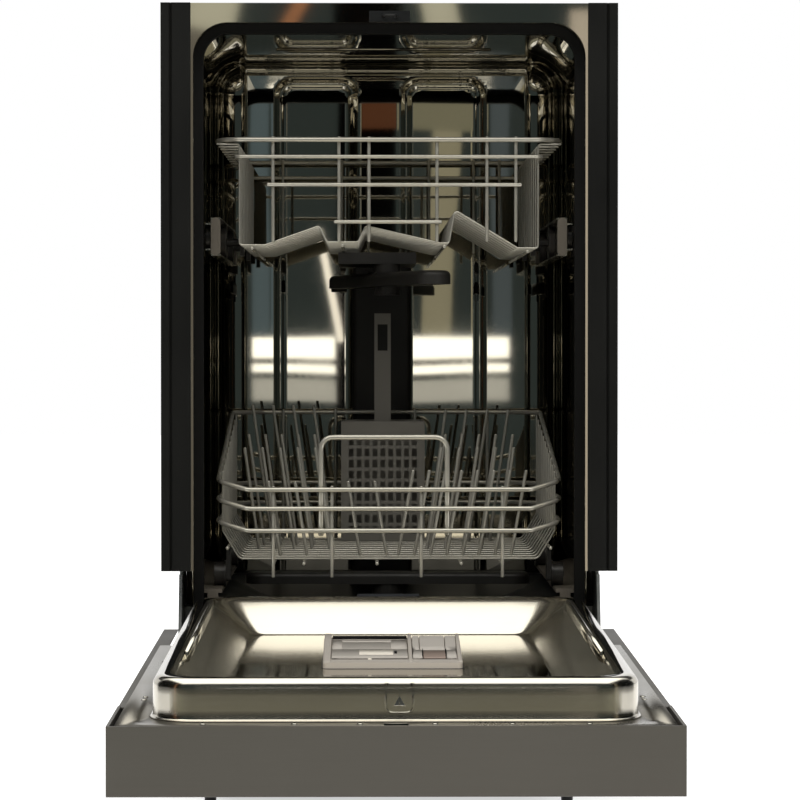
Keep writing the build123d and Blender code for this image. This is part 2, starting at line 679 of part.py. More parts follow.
def door_outer_panel():
    """Front sheet of the door, folded round both sides."""
    panel = block(-HALF, HALF, FACE_Y, LINER_Y - SHEET, DOOR_LOW, CONSOLE_LOW)
    panel -= block(-HALF + SHEET, HALF - SHEET, FACE_Y + SHEET, LINER_Y, 0, HEIGHT)
    for sign in (-1, 1):
        edges = sorted((sign * (LINER_HALF - 8.0), sign * (HALF - SHEET)))
        panel += block(*edges, LINER_Y - 2 * SHEET, LINER_Y - SHEET, DOOR_LOW, CONSOLE_LOW)
    return panel


def recess_depth(z):
    """Depth of the recess floor, which falls towards the tub so that water drains back."""
    return RECESS_Y - RECESS_FALL * (RECESS_FLOOR_HIGH - z) / (RECESS_FLOOR_HIGH - RECESS_FLOOR_LOW)


def recess_block(wall):
    """Tapered hollow of the door liner, grown by the sheet."""
    mouth = upright_section(
        RECESS_HALF + wall, RECESS_LOW - wall, RIM_HIGH - RECESS_MARGIN + wall, RIM_Y, RECESS_ROUND + wall
    )
    floor = upright_section(
        RECESS_HALF - RECESS_TAPER + wall, RECESS_FLOOR_LOW - wall, RECESS_FLOOR_HIGH + wall, 0,
        RECESS_FLOOR_ROUND + wall,
    )
    pivot = Pos(0, RECESS_Y - wall, RECESS_FLOOR_HIGH)
    floor = pivot * Rot(X=-RECESS_TILT) * Pos(0, 0, -RECESS_FLOOR_HIGH) * floor
    return loft([mouth, floor], ruled=True)


def screw_places():
    """Screw positions on the door liner's flange as (x, z)."""
    top = (RIM_HIGH + DOOR_TOP - MOULDING) / 2
    row = [(x, top) for x in (-150.0, -79.0, -28.0, 30.0, 90.0, 150.0)]
    side = RIM_HALF + (LINER_HALF - RIM_HALF) * 0.55
    column = [(sign * side, z) for sign in (-1, 1) for z in (400.0, 646.0, 664.0)]
    return row + column


def door_liner():
    """Pressed inner sheet of the door: flange, raised rim and tapered recess."""
    top = DOOR_TOP - MOULDING - GAP
    liner = block(-LINER_HALF, LINER_HALF, LINER_Y - SHEET, LINER_Y, DOOR_LOW, top)
    rim = rounded_prism(RIM_HALF, RIM_LOW, RIM_HIGH, LINER_Y - SHEET, RIM_Y, RIM_CORNER)
    rim = fillet(rim.faces().sort_by(Axis.Y)[-1].edges(), RIM_EDGE)
    hollow = rounded_prism(
        RIM_HALF - SHEET, RIM_LOW + SHEET, RIM_HIGH - SHEET,
        LINER_Y - 3 * SHEET, RIM_Y - SHEET, RIM_CORNER - SHEET,
    )
    hollow = fillet(hollow.faces().sort_by(Axis.Y)[-1].edges(), RIM_EDGE - SHEET)
    liner = liner + rim - hollow
    liner = liner + recess_block(SHEET) - recess_block(0)
    notch_inner = ARM_X - 2 * PLATE
    notch_top = TRIM_LOW
    for sign in (-1, 1):
        edges = sorted((sign * notch_inner, sign * WIDTH))
        liner -= block(*edges, LINER_Y - PLATE, LINER_Y + PLATE, 0, notch_top)
    slot_low = STRIKE_Z - SLOT_HEIGHT / 2
    liner -= block(-SLOT_HALF, SLOT_HALF, LINER_Y - PLATE, LINER_Y + SHEET, slot_low, slot_low + SLOT_HEIGHT)
    liner -= dispenser_plate(RECESS_Y - RECESS_FALL - PLATE, RECESS_Y + PLATE, GAP)
    for x, z in screw_places():
        liner -= tube_y(x, LINER_Y - PLATE, LINER_Y + PLATE, z, SCREW_SHANK_R + GAP)
    return liner


def door_screws():
    """Screws along the liner's flange."""
    screws = []
    for x, z in screw_places():
        head = tube_y(x, LINER_Y, LINER_Y + SCREW_HEAD, z, SCREW_R)
        screws.append(head + tube_y(x, LINER_Y - SHEET, LINER_Y, z, SCREW_SHANK_R))
    return screws


def door_insulation():
    """Damping pad behind the front sheet."""
    return block(
        -ARM_X + PLATE, ARM_X - PLATE, FACE_Y + SHEET, FACE_Y + SHEET + PAD_THICK,
        RIM_LOW, CONSOLE_LOW - PLATE,
    )


def hinge_arm():
    """Steel arm in the right edge of the door, bored for the hinge pin."""
    half = ARM_WIDTH / 2
    top = HINGE_Z + ARM_LENGTH
    under = LINER_Y - SHEET
    shoulder = TRIM_LOW - HINGE_INSET + half
    points = [
        (HINGE_Y - half, HINGE_Z), (HINGE_Y + half, HINGE_Z), (HINGE_Y + half, shoulder - half),
        (under, shoulder), (under, top), (HINGE_Y - half, top),
    ]
    arm = side_plate(points, ARM_X, ARM_X + PLATE)
    arm += tube_x(ARM_X, ARM_X + PLATE, HINGE_Y, HINGE_Z, half)
    return arm - tube_x(ARM_X - PLATE, ARM_X + 2 * PLATE, HINGE_Y, HINGE_Z, HINGE_PIN_R + RUN_FIT)


def door_rail():
    """Narrow runner on the right slope of the recess, for the lower wheels."""
    x0 = DOOR_RAIL_X - DOOR_RAIL_WIDTH / 2
    x1 = DOOR_RAIL_X + DOOR_RAIL_WIDTH / 2
    top = RIM_Y + DOOR_RAIL_TOP
    ends = []
    for z in (DOOR_RAIL_LOW, DOOR_RAIL_HIGH):
        slope = (RIM_Y - recess_depth(z)) / RECESS_TAPER
        feet = [(x, RIM_Y - slope * (RECESS_HALF - x) + 2 * WELD) for x in (x0, x1)]
        ends.append(Pos(0, 0, z) * make_face(Polyline(*feet, (x1, top), (x0, top), close=True)))
    return loft(ends, ruled=True)


def control_panel():
    """Moulded fascia across the top of the door, with the handle pocket and button holes."""
    inner_y = FACE_Y + MOULDING
    panel = block(-HALF, HALF, FACE_Y, LINER_Y, CONSOLE_LOW, DOOR_TOP)
    panel -= block(
        -HALF + MOULDING, HALF - MOULDING, inner_y, LINER_Y + SHEET, CONSOLE_LOW - PLATE, DOOR_TOP - MOULDING
    )
    panel = fillet(panel.edges().filter_by(Axis.X).group_by(Axis.Y)[0].group_by(Axis.Z)[-1], MOULDING * 0.6)
    half = HANDLE_WIDTH / 2
    low = CONSOLE_LOW + 10.0
    wall = MOULDING
    panel += block(
        -half - wall, half + wall, inner_y, FACE_Y + HANDLE_DEPTH + wall, low - wall, low + HANDLE_HEIGHT + wall
    )
    panel -= block(-half, half, FACE_Y - wall, FACE_Y + HANDLE_DEPTH, low, low + HANDLE_HEIGHT)
    for x in BUTTONS.values():
        panel -= tube_y(x, FACE_Y - PLATE, inner_y + PLATE, BUTTON_Z, BUTTON_R + GAP)
    for x in (BUTTONS["program_button"] - 30.0, BUTTONS["start_button"] + 25.0):
        for z in (BUTTON_Z - 45.0, BUTTON_Z + 18.0):
            panel += tube_y(x, inner_y, inner_y + 2 * MOULDING + BUTTON_TRAVEL, z, 3.0)
    return panel


def button(x):
    """Round push button with a collar behind the fascia."""
    inner_y = FACE_Y + MOULDING
    cap = tube_y(x, FACE_Y - BUTTON_PROUD, inner_y + GAP, BUTTON_Z, BUTTON_R)
    cap = fillet(cap.edges().group_by(Axis.Y)[0], BUTTON_PROUD * 0.5)
    collar = inner_y + GAP / 3
    return cap + tube_y(x, collar, collar + BUTTON_FLANGE, BUTTON_Z, BUTTON_R + BUTTON_FLANGE)


def control_board():
    """Circuit board on the posts behind the buttons."""
    front = FACE_Y + 3 * MOULDING + BUTTON_TRAVEL
    x0 = BUTTONS["program_button"] - 36.0
    x1 = BUTTONS["start_button"] + 31.0
    return block(x0, x1, front, front + 1.6, BUTTON_Z - 52.0, BUTTON_Z + 25.0)


def lid_slope(shape):
    """A shape of the lids' level layout, sloped about their hinge line."""
    return Pos(0, LID_AXIS_Y, LID_AXIS_Z) * Rot(X=DISPENSER_SLOPE) * Pos(0, -LID_AXIS_Y, -LID_AXIS_Z) * shape


def dispenser_plate(y0, y1, grow):
    """Rounded outline of the dispenser between two depths, grown by a gap."""
    half = DISPENSER_HALF + grow
    return rounded_prism(half, DISPENSER_LOW - grow, DISPENSER_HIGH + grow, y0, y1, DISPENSER_CORNER + grow)


def dispenser_body():
    """Wedge-shaped dispenser set into the liner: detergent cup, rinse-aid well and lid seats."""
    top = RECESS_Y + DISPENSER_PROUD
    plate = dispenser_plate(RECESS_Y - RECESS_FALL, top, 0)
    over = DISPENSER_HIGH - DISPENSER_LOW
    plate -= lid_slope(block(-WIDTH, WIDTH, top, top + over, DISPENSER_LOW - over, DISPENSER_HIGH + over))
    body_half = DISPENSER_HALF - DISPENSER_EDGE
    body_low = DISPENSER_LOW + DISPENSER_EDGE
    body_high = DISPENSER_HIGH - DISPENSER_EDGE
    body = plate + block(-body_half, body_half, RECESS_Y - DISPENSER_BODY, RECESS_Y, body_low, body_high)
    seat = LID_AXIS_Y - LID_THICK / 2 - GAP
    for x0, x1 in (DETERGENT_X, RINSE_X):
        body -= lid_slope(block(x0, x1, seat, top + PLATE, LID_LOW, LID_HIGH))
        pin = LID_PIN_R + RUN_FIT
        reach = LID_PIN_LENGTH + GAP / 2
        body -= tube_x(x0 - reach, x1 + reach, LID_AXIS_Y, LID_AXIS_Z, pin)
    floor = RECESS_Y - DISPENSER_BODY + MOULDING
    for (x0, x1), depth in ((DETERGENT_X, floor), (RINSE_X, RECESS_Y)):
        body -= block(x0 + 5.0, x1 - 5.0, depth, top, LID_LOW + 8.0, LID_HIGH - 6.0)
    return body


def dispenser_lid(x0, x1):
    """Flip lid with moulded pivots at its hinge edge."""
    low = LID_AXIS_Y - LID_THICK / 2
    high = LID_AXIS_Y + LID_THICK / 2
    lid = block(x0 + LID_PLAY, x1 - LID_PLAY, low, high, LID_AXIS_Z, LID_HIGH - LID_PLAY)
    lid += tube_x(x0 + LID_PLAY, x1 - LID_PLAY, LID_AXIS_Y, LID_AXIS_Z, LID_THICK / 2)
    return lid_slope(lid + tube_x(x0 - LID_PIN_LENGTH, x1 + LID_PIN_LENGTH, LID_AXIS_Y, LID_AXIS_Z, LID_PIN_R))


def latch_housing():
    """Latch case in the top of the door, open towards the strike."""
    back = LINER_Y - 46.0
    case = block(-25.0, 25.0, back, LINER_Y - SHEET, PAWL_AXIS_Z - 24.0, DOOR_TOP - MOULDING - GAP)
    well_top = STRIKE_Z + SLOT_HEIGHT / 2
    case -= block(-SLOT_HALF, SLOT_HALF, back + 4.0, LINER_Y, PAWL_AXIS_Z - 18.0, well_top - 1.0)
    pin = LID_PIN_R + RUN_FIT
    return case - tube_x(-SLOT_HALF - 6.0, SLOT_HALF + 6.0, PAWL_AXIS_Y, PAWL_AXIS_Z, pin)


def latch_pawl():
    """Hook that swings up into the strike loop, drawn released."""
    half = PAWL_HALF
    nose_y = FLANGE_Y - STRIKE_REACH + STRIKE_WIRE_R + 1.5
    points = [
        (PAWL_AXIS_Y, PAWL_AXIS_Z - 4.0), (nose_y + 4.4, PAWL_AXIS_Z - 4.0), (nose_y + 4.4, STRIKE_Z + 1.0),
        (nose_y, STRIKE_Z + 1.0), (nose_y, PAWL_AXIS_Z + 4.0), (PAWL_AXIS_Y, PAWL_AXIS_Z + 4.0),
    ]
    hook = side_plate(points, -half, half)
    hook += tube_x(-half, half, PAWL_AXIS_Y, PAWL_AXIS_Z, 4.0)
    hook += tube_x(-SLOT_HALF - 5.5, SLOT_HALF + 5.5, PAWL_AXIS_Y, PAWL_AXIS_Z, LID_PIN_R)
    place = Pos(0, PAWL_AXIS_Y, PAWL_AXIS_Z)
    return place * Rot(X=-PAWL_RELEASE) * Pos(0, -PAWL_AXIS_Y, -PAWL_AXIS_Z) * hook


def rim_loop(half, y0, y1, z, bend, radius):
    """Level rectangular rim wire with rounded corners."""
    points = [(-half, y0, z), (half, y0, z), (half, y1, z), (-half, y1, z)]
    return wire_runs(points, bend, radius, close=True)


def upper_front_lines():
    """Depths of the front and rear uprights and of the first and last waved wires."""
    upright = RIM_WIRE_R + UPRIGHT_R + WELD
    wave = upright + UPRIGHT_R + FLOOR_WIRE_R + WELD
    return upright, wave


def upper_wave_depths():
    """Depths of the waved floor wires."""
    wave = upper_front_lines()[1]
    return spaced(UPPER_FRONT + wave, UPPER_BACK - wave, UPPER_WAVES)


def upper_rack_frame():
    """Rim wires, uprights and front wires of the upper rack."""
    upright = upper_front_lines()[0]
    wires = rim_loop(UPPER_RIM_HALF, UPPER_FRONT, UPPER_BACK, UPPER_RIM_Z, 28.0, RIM_WIRE_R)
    drop = RIM_WIRE_R - SECOND_WIRE_R
    wires += rim_loop(
        UPPER_SECOND_HALF, UPPER_FRONT + drop, UPPER_BACK - drop, UPPER_SECOND_Z, 6.0, SECOND_WIRE_R
    )
    for y in (UPPER_FRONT + upright, UPPER_BACK - upright):
        outer = (37.0 - UPPER_SECOND_HALF, UPPER_SECOND_HALF - 55.0, UPPER_SECOND_HALF - 26.0)
        for x in outer + (-50.0, -20.0, 48.0):
            wires.append(rod((x, y, RAIL_Z - 4.0), (x, y, UPPER_RIM_Z + RIM_WIRE_R), UPRIGHT_R))
    short = SECOND_WIRE_R - RIM_WIRE_R
    for x0, x1, z in ((32.0 - UPPER_SECOND_HALF, UPPER_SECOND_HALF - 21.0, 650.0), (-54.0, 52.0, 613.0)):
        y = UPPER_FRONT - short
        wires.append(rod((x0, y, z), (x1, y, z), SECOND_WIRE_R))
    hook_z = UPPER_RIM_Z - RIM_WIRE_R - FLOOR_WIRE_R - WELD
    for y in upper_wave_depths():
        for sign in (-1, 1):
            points = [
                (sign * WAVE_HALF, y, RAIL_Z + 6.0), (sign * WAVE_HALF, y, hook_z),
                (sign * UPPER_RIM_HALF, y, hook_z),
            ]
            wires.append(bent_wire(points, 2 * FLOOR_WIRE_R, FLOOR_WIRE_R))
    return wires


def upper_rack_floor():
    """Waved cross wires and the long wires welded under them."""
    left, right = -WAVE_HALF, WAVE_HALF
    valley = {left + 12.5: 590.0, left + 103.0: 593.0, right - 94.0: 592.0, right - 10.5: 587.0}
    wave = [
        (left, RAIL_Z + 6.0), (left, 590.0), (left + 25.5, 590.0), (left + 79.5, 609.0), (left + 87.5, 593.0),
        (left + 118.5, 593.0), (left + 126.5, 609.0), (right - 98.5, 592.0), (right - 89.5, 592.0),
        (right - 83.5, 625.0), (right - 20.5, 587.0), (right, 587.0), (right, RAIL_Z + 6.0),
    ]
    depths = upper_wave_depths()
    wires = []
    for y in depths:
        wires.append(bent_wire([(x, y, z) for x, z in wave], 2.5, FLOOR_WIRE_R))
    for x, z in valley.items():
        z -= FLOOR_WIRE_R + UPRIGHT_R + WELD
        wires.append(rod((x, depths[0] - FLOOR_WIRE_R, z), (x, depths[-1] + FLOOR_WIRE_R, z), UPRIGHT_R))
    return wires


def upper_roller_depths():
    """Depths of the upper rack's roller axles, each at a waved wire."""
    depths = upper_wave_depths()
    return depths[4], depths[8]


def upper_roller_mount(y):
    """Plate on the right of the rack with a roller axle."""
    inner = WAVE_HALF + FLOOR_WIRE_R + 2 * WELD
    plate = block(inner, inner + 4.0, y - 14.0, y + 14.0, RAIL_Z - 14.0, RAIL_Z + 45.0)
    return plate + tube_x(inner, RAIL_INNER_X + RAIL_CHANNEL - 1.0, y, RAIL_Z, ROLLER_AXLE_R)


def upper_roller(y):
    """Rack roller inside the right rail."""
    x0 = RAIL_INNER_X + RAIL_SHEET
    x1 = RAIL_INNER_X + RAIL_CHANNEL - GAP
    wheel = tube_x(x0, x1, y, RAIL_Z, ROLLER_R)
    return wheel - tube_x(x0 - PLATE, x1 + PLATE, y, RAIL_Z, ROLLER_AXLE_R + RUN_FIT)


def upper_spray_feed():
    """Flat duct under the upper rack, with the bearing stub of its spray arm."""
    top = 593.0 - FLOOR_WIRE_R - 2 * UPRIGHT_R - WELD - GAP
    duct = block(-52.0, 30.0, SPRAY_Y - 14.0, PIPE_FRONT - 40.0, top - 12.0, top)
    middle = sum(PIPE_X) / 2
    duct += block(
        middle - 14.0, middle + 14.0, PIPE_FRONT - 41.0, PIPE_FRONT - GAP, PIPE_TOP - 15.0, PIPE_TOP - 7.0
    )
    duct = duct + tube_z(SPRAY_X, SPRAY_Y, UPPER_ARM_HIGH + GAP, top - 6.0, SPRAY_STEM_R + PLATE)
    stub_low = UPPER_ARM_LOW - 5.0
    duct += tube_z(SPRAY_X, SPRAY_Y, stub_low, top - 6.0, SPRAY_STEM_R)
    return duct + tube_z(SPRAY_X, SPRAY_Y, stub_low - 4.0, UPPER_ARM_LOW - GAP, SPRAY_STEM_R + MOULDING)


def lower_cross_depths():
    """Depths of the lower rack's cross wires."""
    return spaced(LOWER_FRONT + LOWER_CORNER + 3.0, LOWER_BACK - LOWER_CORNER - 3.0, LOWER_CROSS)


def lower_side_z(y):
    """Height of the sloping top rim at depth y."""
    front = LOWER_FRONT_WIRES[0] + LOWER_CORNER_RISE
    return front + (LOWER_BACK_Z - front) * (y - LOWER_FRONT) / (LOWER_BACK - LOWER_FRONT)


def lower_rim(front_z, back_z):
    """One rim wire of the lower rack, its front lower than its corners."""
    side_front = front_z + LOWER_CORNER_RISE
    corner = LOWER_CORNER
    right = [
        (LOWER_FLAT_HALF, LOWER_FRONT, front_z), (LOWER_HALF - 4.0, LOWER_FRONT + 13.0, side_front - 2.0),
        (LOWER_HALF, LOWER_FRONT + corner, side_front), (LOWER_HALF, LOWER_BACK - corner, back_z),
        (LOWER_HALF - corner, LOWER_BACK, back_z),
    ]
    points = right + [(-x, y, z) for x, y, z in reversed(right)]
    return wire_runs(points, 6.0, RIM_WIRE_R, close=True)


def lower_rack_frame():
    """Rims, front and rear uprights and the handle loop of the lower rack."""
    top, middle, low = LOWER_FRONT_WIRES
    wires = lower_rim(top, LOWER_BACK_Z)
    for z in (middle, low):
        wires += lower_rim(z, z + LOWER_CORNER_RISE)
    step = RIM_WIRE_R + UPRIGHT_R + WELD
    foot = LOWER_FLOOR_Z - 16.0
    for x in (25.5 - LOWER_FLAT_HALF, -57.0, 32.0, LOWER_FLAT_HALF - 28.0):
        front = LOWER_FRONT + step
        back = LOWER_BACK - step
        wires.append(rod((x, front, foot), (x, front, top + RIM_WIRE_R), UPRIGHT_R))
        wires.append(rod((x, back, foot), (x, back, LOWER_BACK_Z + RIM_WIRE_R), UPRIGHT_R))
    y = LOWER_FRONT + RIM_WIRE_R + HANDLE_LOOP_R + WELD
    x0, x1 = HANDLE_LOOP_X
    loop = [(x0, y, low - 4.0), (x0, y, HANDLE_LOOP_TOP), (x1, y, HANDLE_LOOP_TOP), (x1, y, low - 4.0)]
    return wires + wire_runs(loop, 12.0, HANDLE_LOOP_R)


def lower_rack_floor():
    """Cross wires with turned-up ends, their side uprights and the long floor wires."""
    turn = LOWER_FLOOR_Z + LOWER_CHAMFER_RISE
    stub = turn + 9.0
    wires = []
    for y in lower_cross_depths():
        points = [
            (-CROSS_HALF, y, stub), (-CROSS_HALF, y, turn), (-LOWER_FLOOR_HALF, y, LOWER_FLOOR_Z),
            (LOWER_FLOOR_HALF, y, LOWER_FLOOR_Z), (CROSS_HALF, y, turn), (CROSS_HALF, y, stub),
        ]
        wires += wire_runs(points, 5.0, FLOOR_WIRE_R)
        for sign in (-1, 1):
            top = lower_side_z(y) + RIM_WIRE_R
            wires.append(rod((sign * CROSS_HALF, y, stub), (sign * CROSS_HALF, y, top), FLOOR_WIRE_R))
    z = LOWER_FLOOR_Z - FLOOR_WIRE_R - UPRIGHT_R - WELD
    step = RIM_WIRE_R + 2 * UPRIGHT_R + 2 * WELD
    for x in (25.5 - LOWER_FLAT_HALF, -85.0, -57.0, -12.0, 32.0, 72.0, LOWER_FLAT_HALF - 28.0):
        wires.append(rod((x, LOWER_FRONT + step, z), (x, LOWER_BACK - step, z), UPRIGHT_R))
    x, z = lower_side_wire()
    for sign in (-1, 1):
        wires.append(rod((sign * x, LOWER_FRONT + step, z), (sign * x, LOWER_BACK - step, z), UPRIGHT_R))
    return wires


def lower_side_wire():
    """Section point of the long wire outside the turned-up ends."""
    run = CROSS_HALF - LOWER_FLOOR_HALF
    length = math.hypot(run, LOWER_CHAMFER_RISE)
    out = FLOOR_WIRE_R + UPRIGHT_R + WELD
    x = (CROSS_HALF + LOWER_FLOOR_HALF) / 2 + out * LOWER_CHAMFER_RISE / length
    return x, LOWER_FLOOR_Z + LOWER_CHAMFER_RISE / 2 - out * run / length


def lower_rack_tines():
    """Leaning plate tines, in rows on the cross wires."""
    depths = lower_cross_depths()
    left, right = -LOWER_FLOOR_HALF, LOWER_FLOOR_HALF
    rows = (
        (1, 25.0, right - 10.0, 8, 363.0, 10.0), (4, 56.0, right - 18.0, 5, 383.0, 8.0),
        (6, 62.0, right - 16.0, 5, 395.0, 8.0), (8, 64.0, right - 18.0, 4, 420.0, 8.0),
        (4, left, -76.0, 5, 383.0, -8.0), (6, left + 2.0, -78.0, 5, 395.0, -8.0),
        (8, left + 4.0, -80.0, 4, 425.0, -8.0), (1, left + 28.0, -14.0, 5, 352.0, -9.0),
    )
    tines = []
    foot = LOWER_FLOOR_Z + FLOOR_WIRE_R + GAP
    for index, x0, x1, count, top, lean in rows:
        for x in spaced(x0, x1, count):
            base = x - math.tan(math.radians(lean)) * (top - foot)
            tine = rod((base, depths[index], foot), (x, depths[index], top), TINE_R)
            tines.append(fillet(tine.edges().sort_by(Axis.Z)[-1], TINE_R * 0.7))
    return tines


def lower_wheel_mount(y):
    """Clip under the right long wire with a wheel axle."""
    x, z = lower_side_wire()
    inner = TRACK_INNER_X - 7.0
    outer = inner + 4.4
    plate = block(inner, outer, y - 11.0, y + 11.0, WHEEL_Z - 7.0, z - UPRIGHT_R - GAP)
    plate = fillet(plate.edges().filter_by(Axis.X), 3.0)
    return plate + tube_x(outer, TRACK_INNER_X + 10.5, y, WHEEL_Z, WHEEL_AXLE_R)


def lower_wheel(y):
    """Flanged wheel on the right of the lower rack."""
    tread = TRACK_INNER_X + 0.6
    wheel = tube_x(tread, tread + 9.0, y, WHEEL_Z, WHEEL_R)
    wheel += tube_x(TRACK_INNER_X - 2.2, tread, y, WHEEL_Z, WHEEL_R)
    wheel += tube_x(TRACK_INNER_X - 2.2, TRACK_INNER_X - GAP, y, WHEEL_Z, WHEEL_FLANGE_R)
    return wheel - tube_x(TRACK_INNER_X - 9.0, tread + 12.0, y, WHEEL_Z, WHEEL_AXLE_R + RUN_FIT)


def cutlery_basket():
    """Open basket with slotted walls, a divider and a tall grip."""
    x0, x1 = BASKET_X
    y0, y1 = BASKET_Y
    low = LOWER_FLOOR_Z + FLOOR_WIRE_R + GAP
    wall = BASKET_WALL
    basket = block(x0, x1, y0, y1, low, BASKET_TOP)
    basket -= block(x0 + wall, x1 - wall, y0 + wall, y1 - wall, low + wall, HEIGHT)
    pitch = 8.6
    slot = 5.4
    rows = spaced(low + 12.0, BASKET_TOP - 22.0, 9)
    columns = int((x1 - x0 - 2 * pitch) / pitch) + 1
    cuts = []
    for z in rows:
        for i in range(columns):
            x = (x0 + x1) / 2 + (i - (columns - 1) / 2) * pitch
            y = (y0 + y1) / 2 + (i - (columns - 1) / 2) * pitch
            cuts.append(block(x - slot / 2, x + slot / 2, y0 - wall, y1 + wall, z - slot * 0.8, z + slot * 0.8))
            cuts.append(block(x0 - wall, x1 + wall, y - slot / 2, y + slot / 2, z - slot * 0.8, z + slot * 0.8))
    basket = basket - cuts
    middle_y = (y0 + y1) / 2
    basket += block(
        x0 + wall, x1 - wall, middle_y - wall / 2, middle_y + wall / 2, low + wall, BASKET_TOP - 12.0
    )
    middle_x = (x0 + x1) / 2
    grip_low = BASKET_TOP - 30.0
    grip = block(
        middle_x - BASKET_GRIP_HALF, middle_x + BASKET_GRIP_HALF, middle_y - wall, middle_y + wall,
        grip_low, BASKET_GRIP_TOP,
    )
    slot_half = BASKET_GRIP_HALF - 3.5
    grip -= block(
        middle_x - slot_half, middle_x + slot_half, middle_y - 2 * wall, middle_y + 2 * wall,
        BASKET_GRIP_TOP - 41.0, BASKET_GRIP_TOP - 12.0,
    )
    return basket + grip


def cabinet_nodes():
    """Pieces fixed to the cabinet, by node name."""
    return {
        "tub_shell": [tub_shell()],
        "tub_floor": [tub_floor()],
        "front_flange": [front_flange()],
        "door_gasket": [door_gasket()],
        "side_trim_right": [side_trim()],
        "side_trim_left": [mirror(side_trim(), about=Plane.YZ)],
        "latch_strike": [latch_strike()],
        "insulation_jacket": [insulation_jacket()],
        "base_tray": [base_tray()],
        "kick_plate": [kick_plate()],
        "hinge_brackets": pair(hinge_bracket()),
        "hinge_cassettes": pair(hinge_cassette()),
        "roller_tracks": pair(roller_track()),
        "rail_supports": [piece for y in WALL_ROLLER_Y for piece in pair(rail_support(y))],
        "inner_pipe": [inner_pipe()],
        "sump_bowl": [sump_bowl()],
        "circulation_pump": [circulation_pump()],
        "drain_pump": [drain_pump()],
        "inlet_valve": [inlet_valve()],
        "junction_box": [junction_box()],
    }


def cabinet_movers():
    """Small moving pieces carried by the cabinet, by node name."""
    lower_arm = spray_arm(
        LOWER_ARM_LOW, LOWER_ARM_HIGH, SPRAY_STEM_R + RUN_FIT, SPRAY_STEM_TOP + 1.0, TUB_SEAT - 6.0
    )
    nodes = {
        "filter_cup": [filter_cup()],
        "lower_spray_arm": [lower_arm],
        "wall_rollers_front": pair(wall_roller(WALL_ROLLER_Y[0])),
        "wall_rollers_rear": pair(wall_roller(WALL_ROLLER_Y[1])),
        "rack_rails": pair(rack_rail()),
        "rail_end_caps": pair(rail_cap(RAIL_FRONT - RAIL_CAP)) + pair(rail_cap(RAIL_BACK)),
    }
    for side, x in (("left", -FOOT_X), ("right", FOOT_X)):
        nodes["foot_front_" + side] = [levelling_foot(x, FOOT_FRONT_Y)]
        nodes["foot_rear_" + side] = [levelling_foot(x, FOOT_REAR_Y)]
    return nodes


def door_nodes():
    """Pieces of the door, closed, by node name."""
    nodes = {
        "door_outer_panel": [door_outer_panel()],
        "door_liner": [door_liner()],
        "door_insulation": [door_insulation()],
        "control_panel": [control_panel()],
        "control_board": [control_board()],
        "dispenser_body": [dispenser_body()],
        "latch_housing": [latch_housing()],
        "hinge_arms": pair(hinge_arm()),
        "door_rails": pair(door_rail()),
        "door_screws": door_screws(),
        "detergent_lid": [dispenser_lid(*DETERGENT_X)],
        "rinse_aid_lid": [dispenser_lid(*RINSE_X)],
        "latch_pawl": [latch_pawl()],
    }
    for name, x in BUTTONS.items():
        nodes[name] = [button(x)]
    return nodes


def rack_nodes():
    """Pieces of both racks, by node name."""
    front, rear = upper_roller_depths()
    upper_arm = spray_arm(
        UPPER_ARM_LOW, UPPER_ARM_HIGH, SPRAY_STEM_R + RUN_FIT, UPPER_ARM_HIGH + PLATE, UPPER_ARM_LOW,
        UPPER_ARM_TURN,
    )
    return {
        "upper_rack_frame": upper_rack_frame(),
        "upper_rack_floor": upper_rack_floor(),
        "upper_roller_mounts": pair(upper_roller_mount(front)) + pair(upper_roller_mount(rear)),
        "upper_rollers_front": pair(upper_roller(front)),
        "upper_rollers_rear": pair(upper_roller(rear)),
        "upper_spray_feed": [upper_spray_feed()],
        "upper_spray_arm": [upper_arm],
        "lower_rack_frame": lower_rack_frame(),
        "lower_rack_floor": lower_rack_floor(),
        "lower_rack_tines": lower_rack_tines(),
        "lower_wheel_mounts": [piece for y in WHEEL_Y for piece in pair(lower_wheel_mount(y))],
        "lower_wheels_front": pair(lower_wheel(WHEEL_Y[0])),
        "lower_wheels_rear": pair(lower_wheel(WHEEL_Y[1])),
        "cutlery_basket": [cutlery_basket()],
    }


def build_nodes():
    """All pieces in the design frame with the door open, by node name."""
    nodes = cabinet_nodes()
    nodes.update(cabinet_movers())
    nodes.update({name: open_door(shapes) for name, shapes in door_nodes().items()})
    nodes.update(rack_nodes())
    return nodes


def frame_shift(nodes):
    """Depth shift that puts the origin under the middle of the whole object."""
    boxes = [shape.bounding_box() for shapes in nodes.values() for shape in shapes]
    front = min(box.min.Y for box in boxes)
    back = max(box.max.Y for box in boxes)
    return -(front + back) / 2


def main():
    """Write one STEP file per node."""
    os.makedirs("parts", exist_ok=True)
    nodes = build_nodes()
    place = Pos(0, frame_shift(nodes), 0)
    for name, shapes in nodes.items():
        solids = [place * solid for shape in shapes for solid in shape.solids()]
        export_step(solids[0] if len(solids) == 1 else Compound(solids), os.path.join("parts", name + ".step"))


if __name__ == "__main__":
    main()
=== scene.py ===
"""Looks of a slim built-in dishwasher with its door folded down and both racks in."""

import logging
import math
from dataclasses import dataclass, field
from enum import Enum
from typing import Any, Callable, Iterable, Sequence

import bpy
from mathutils import Matrix, Quaternion, Vector
from mathutils.geometry import tessellate_polygon


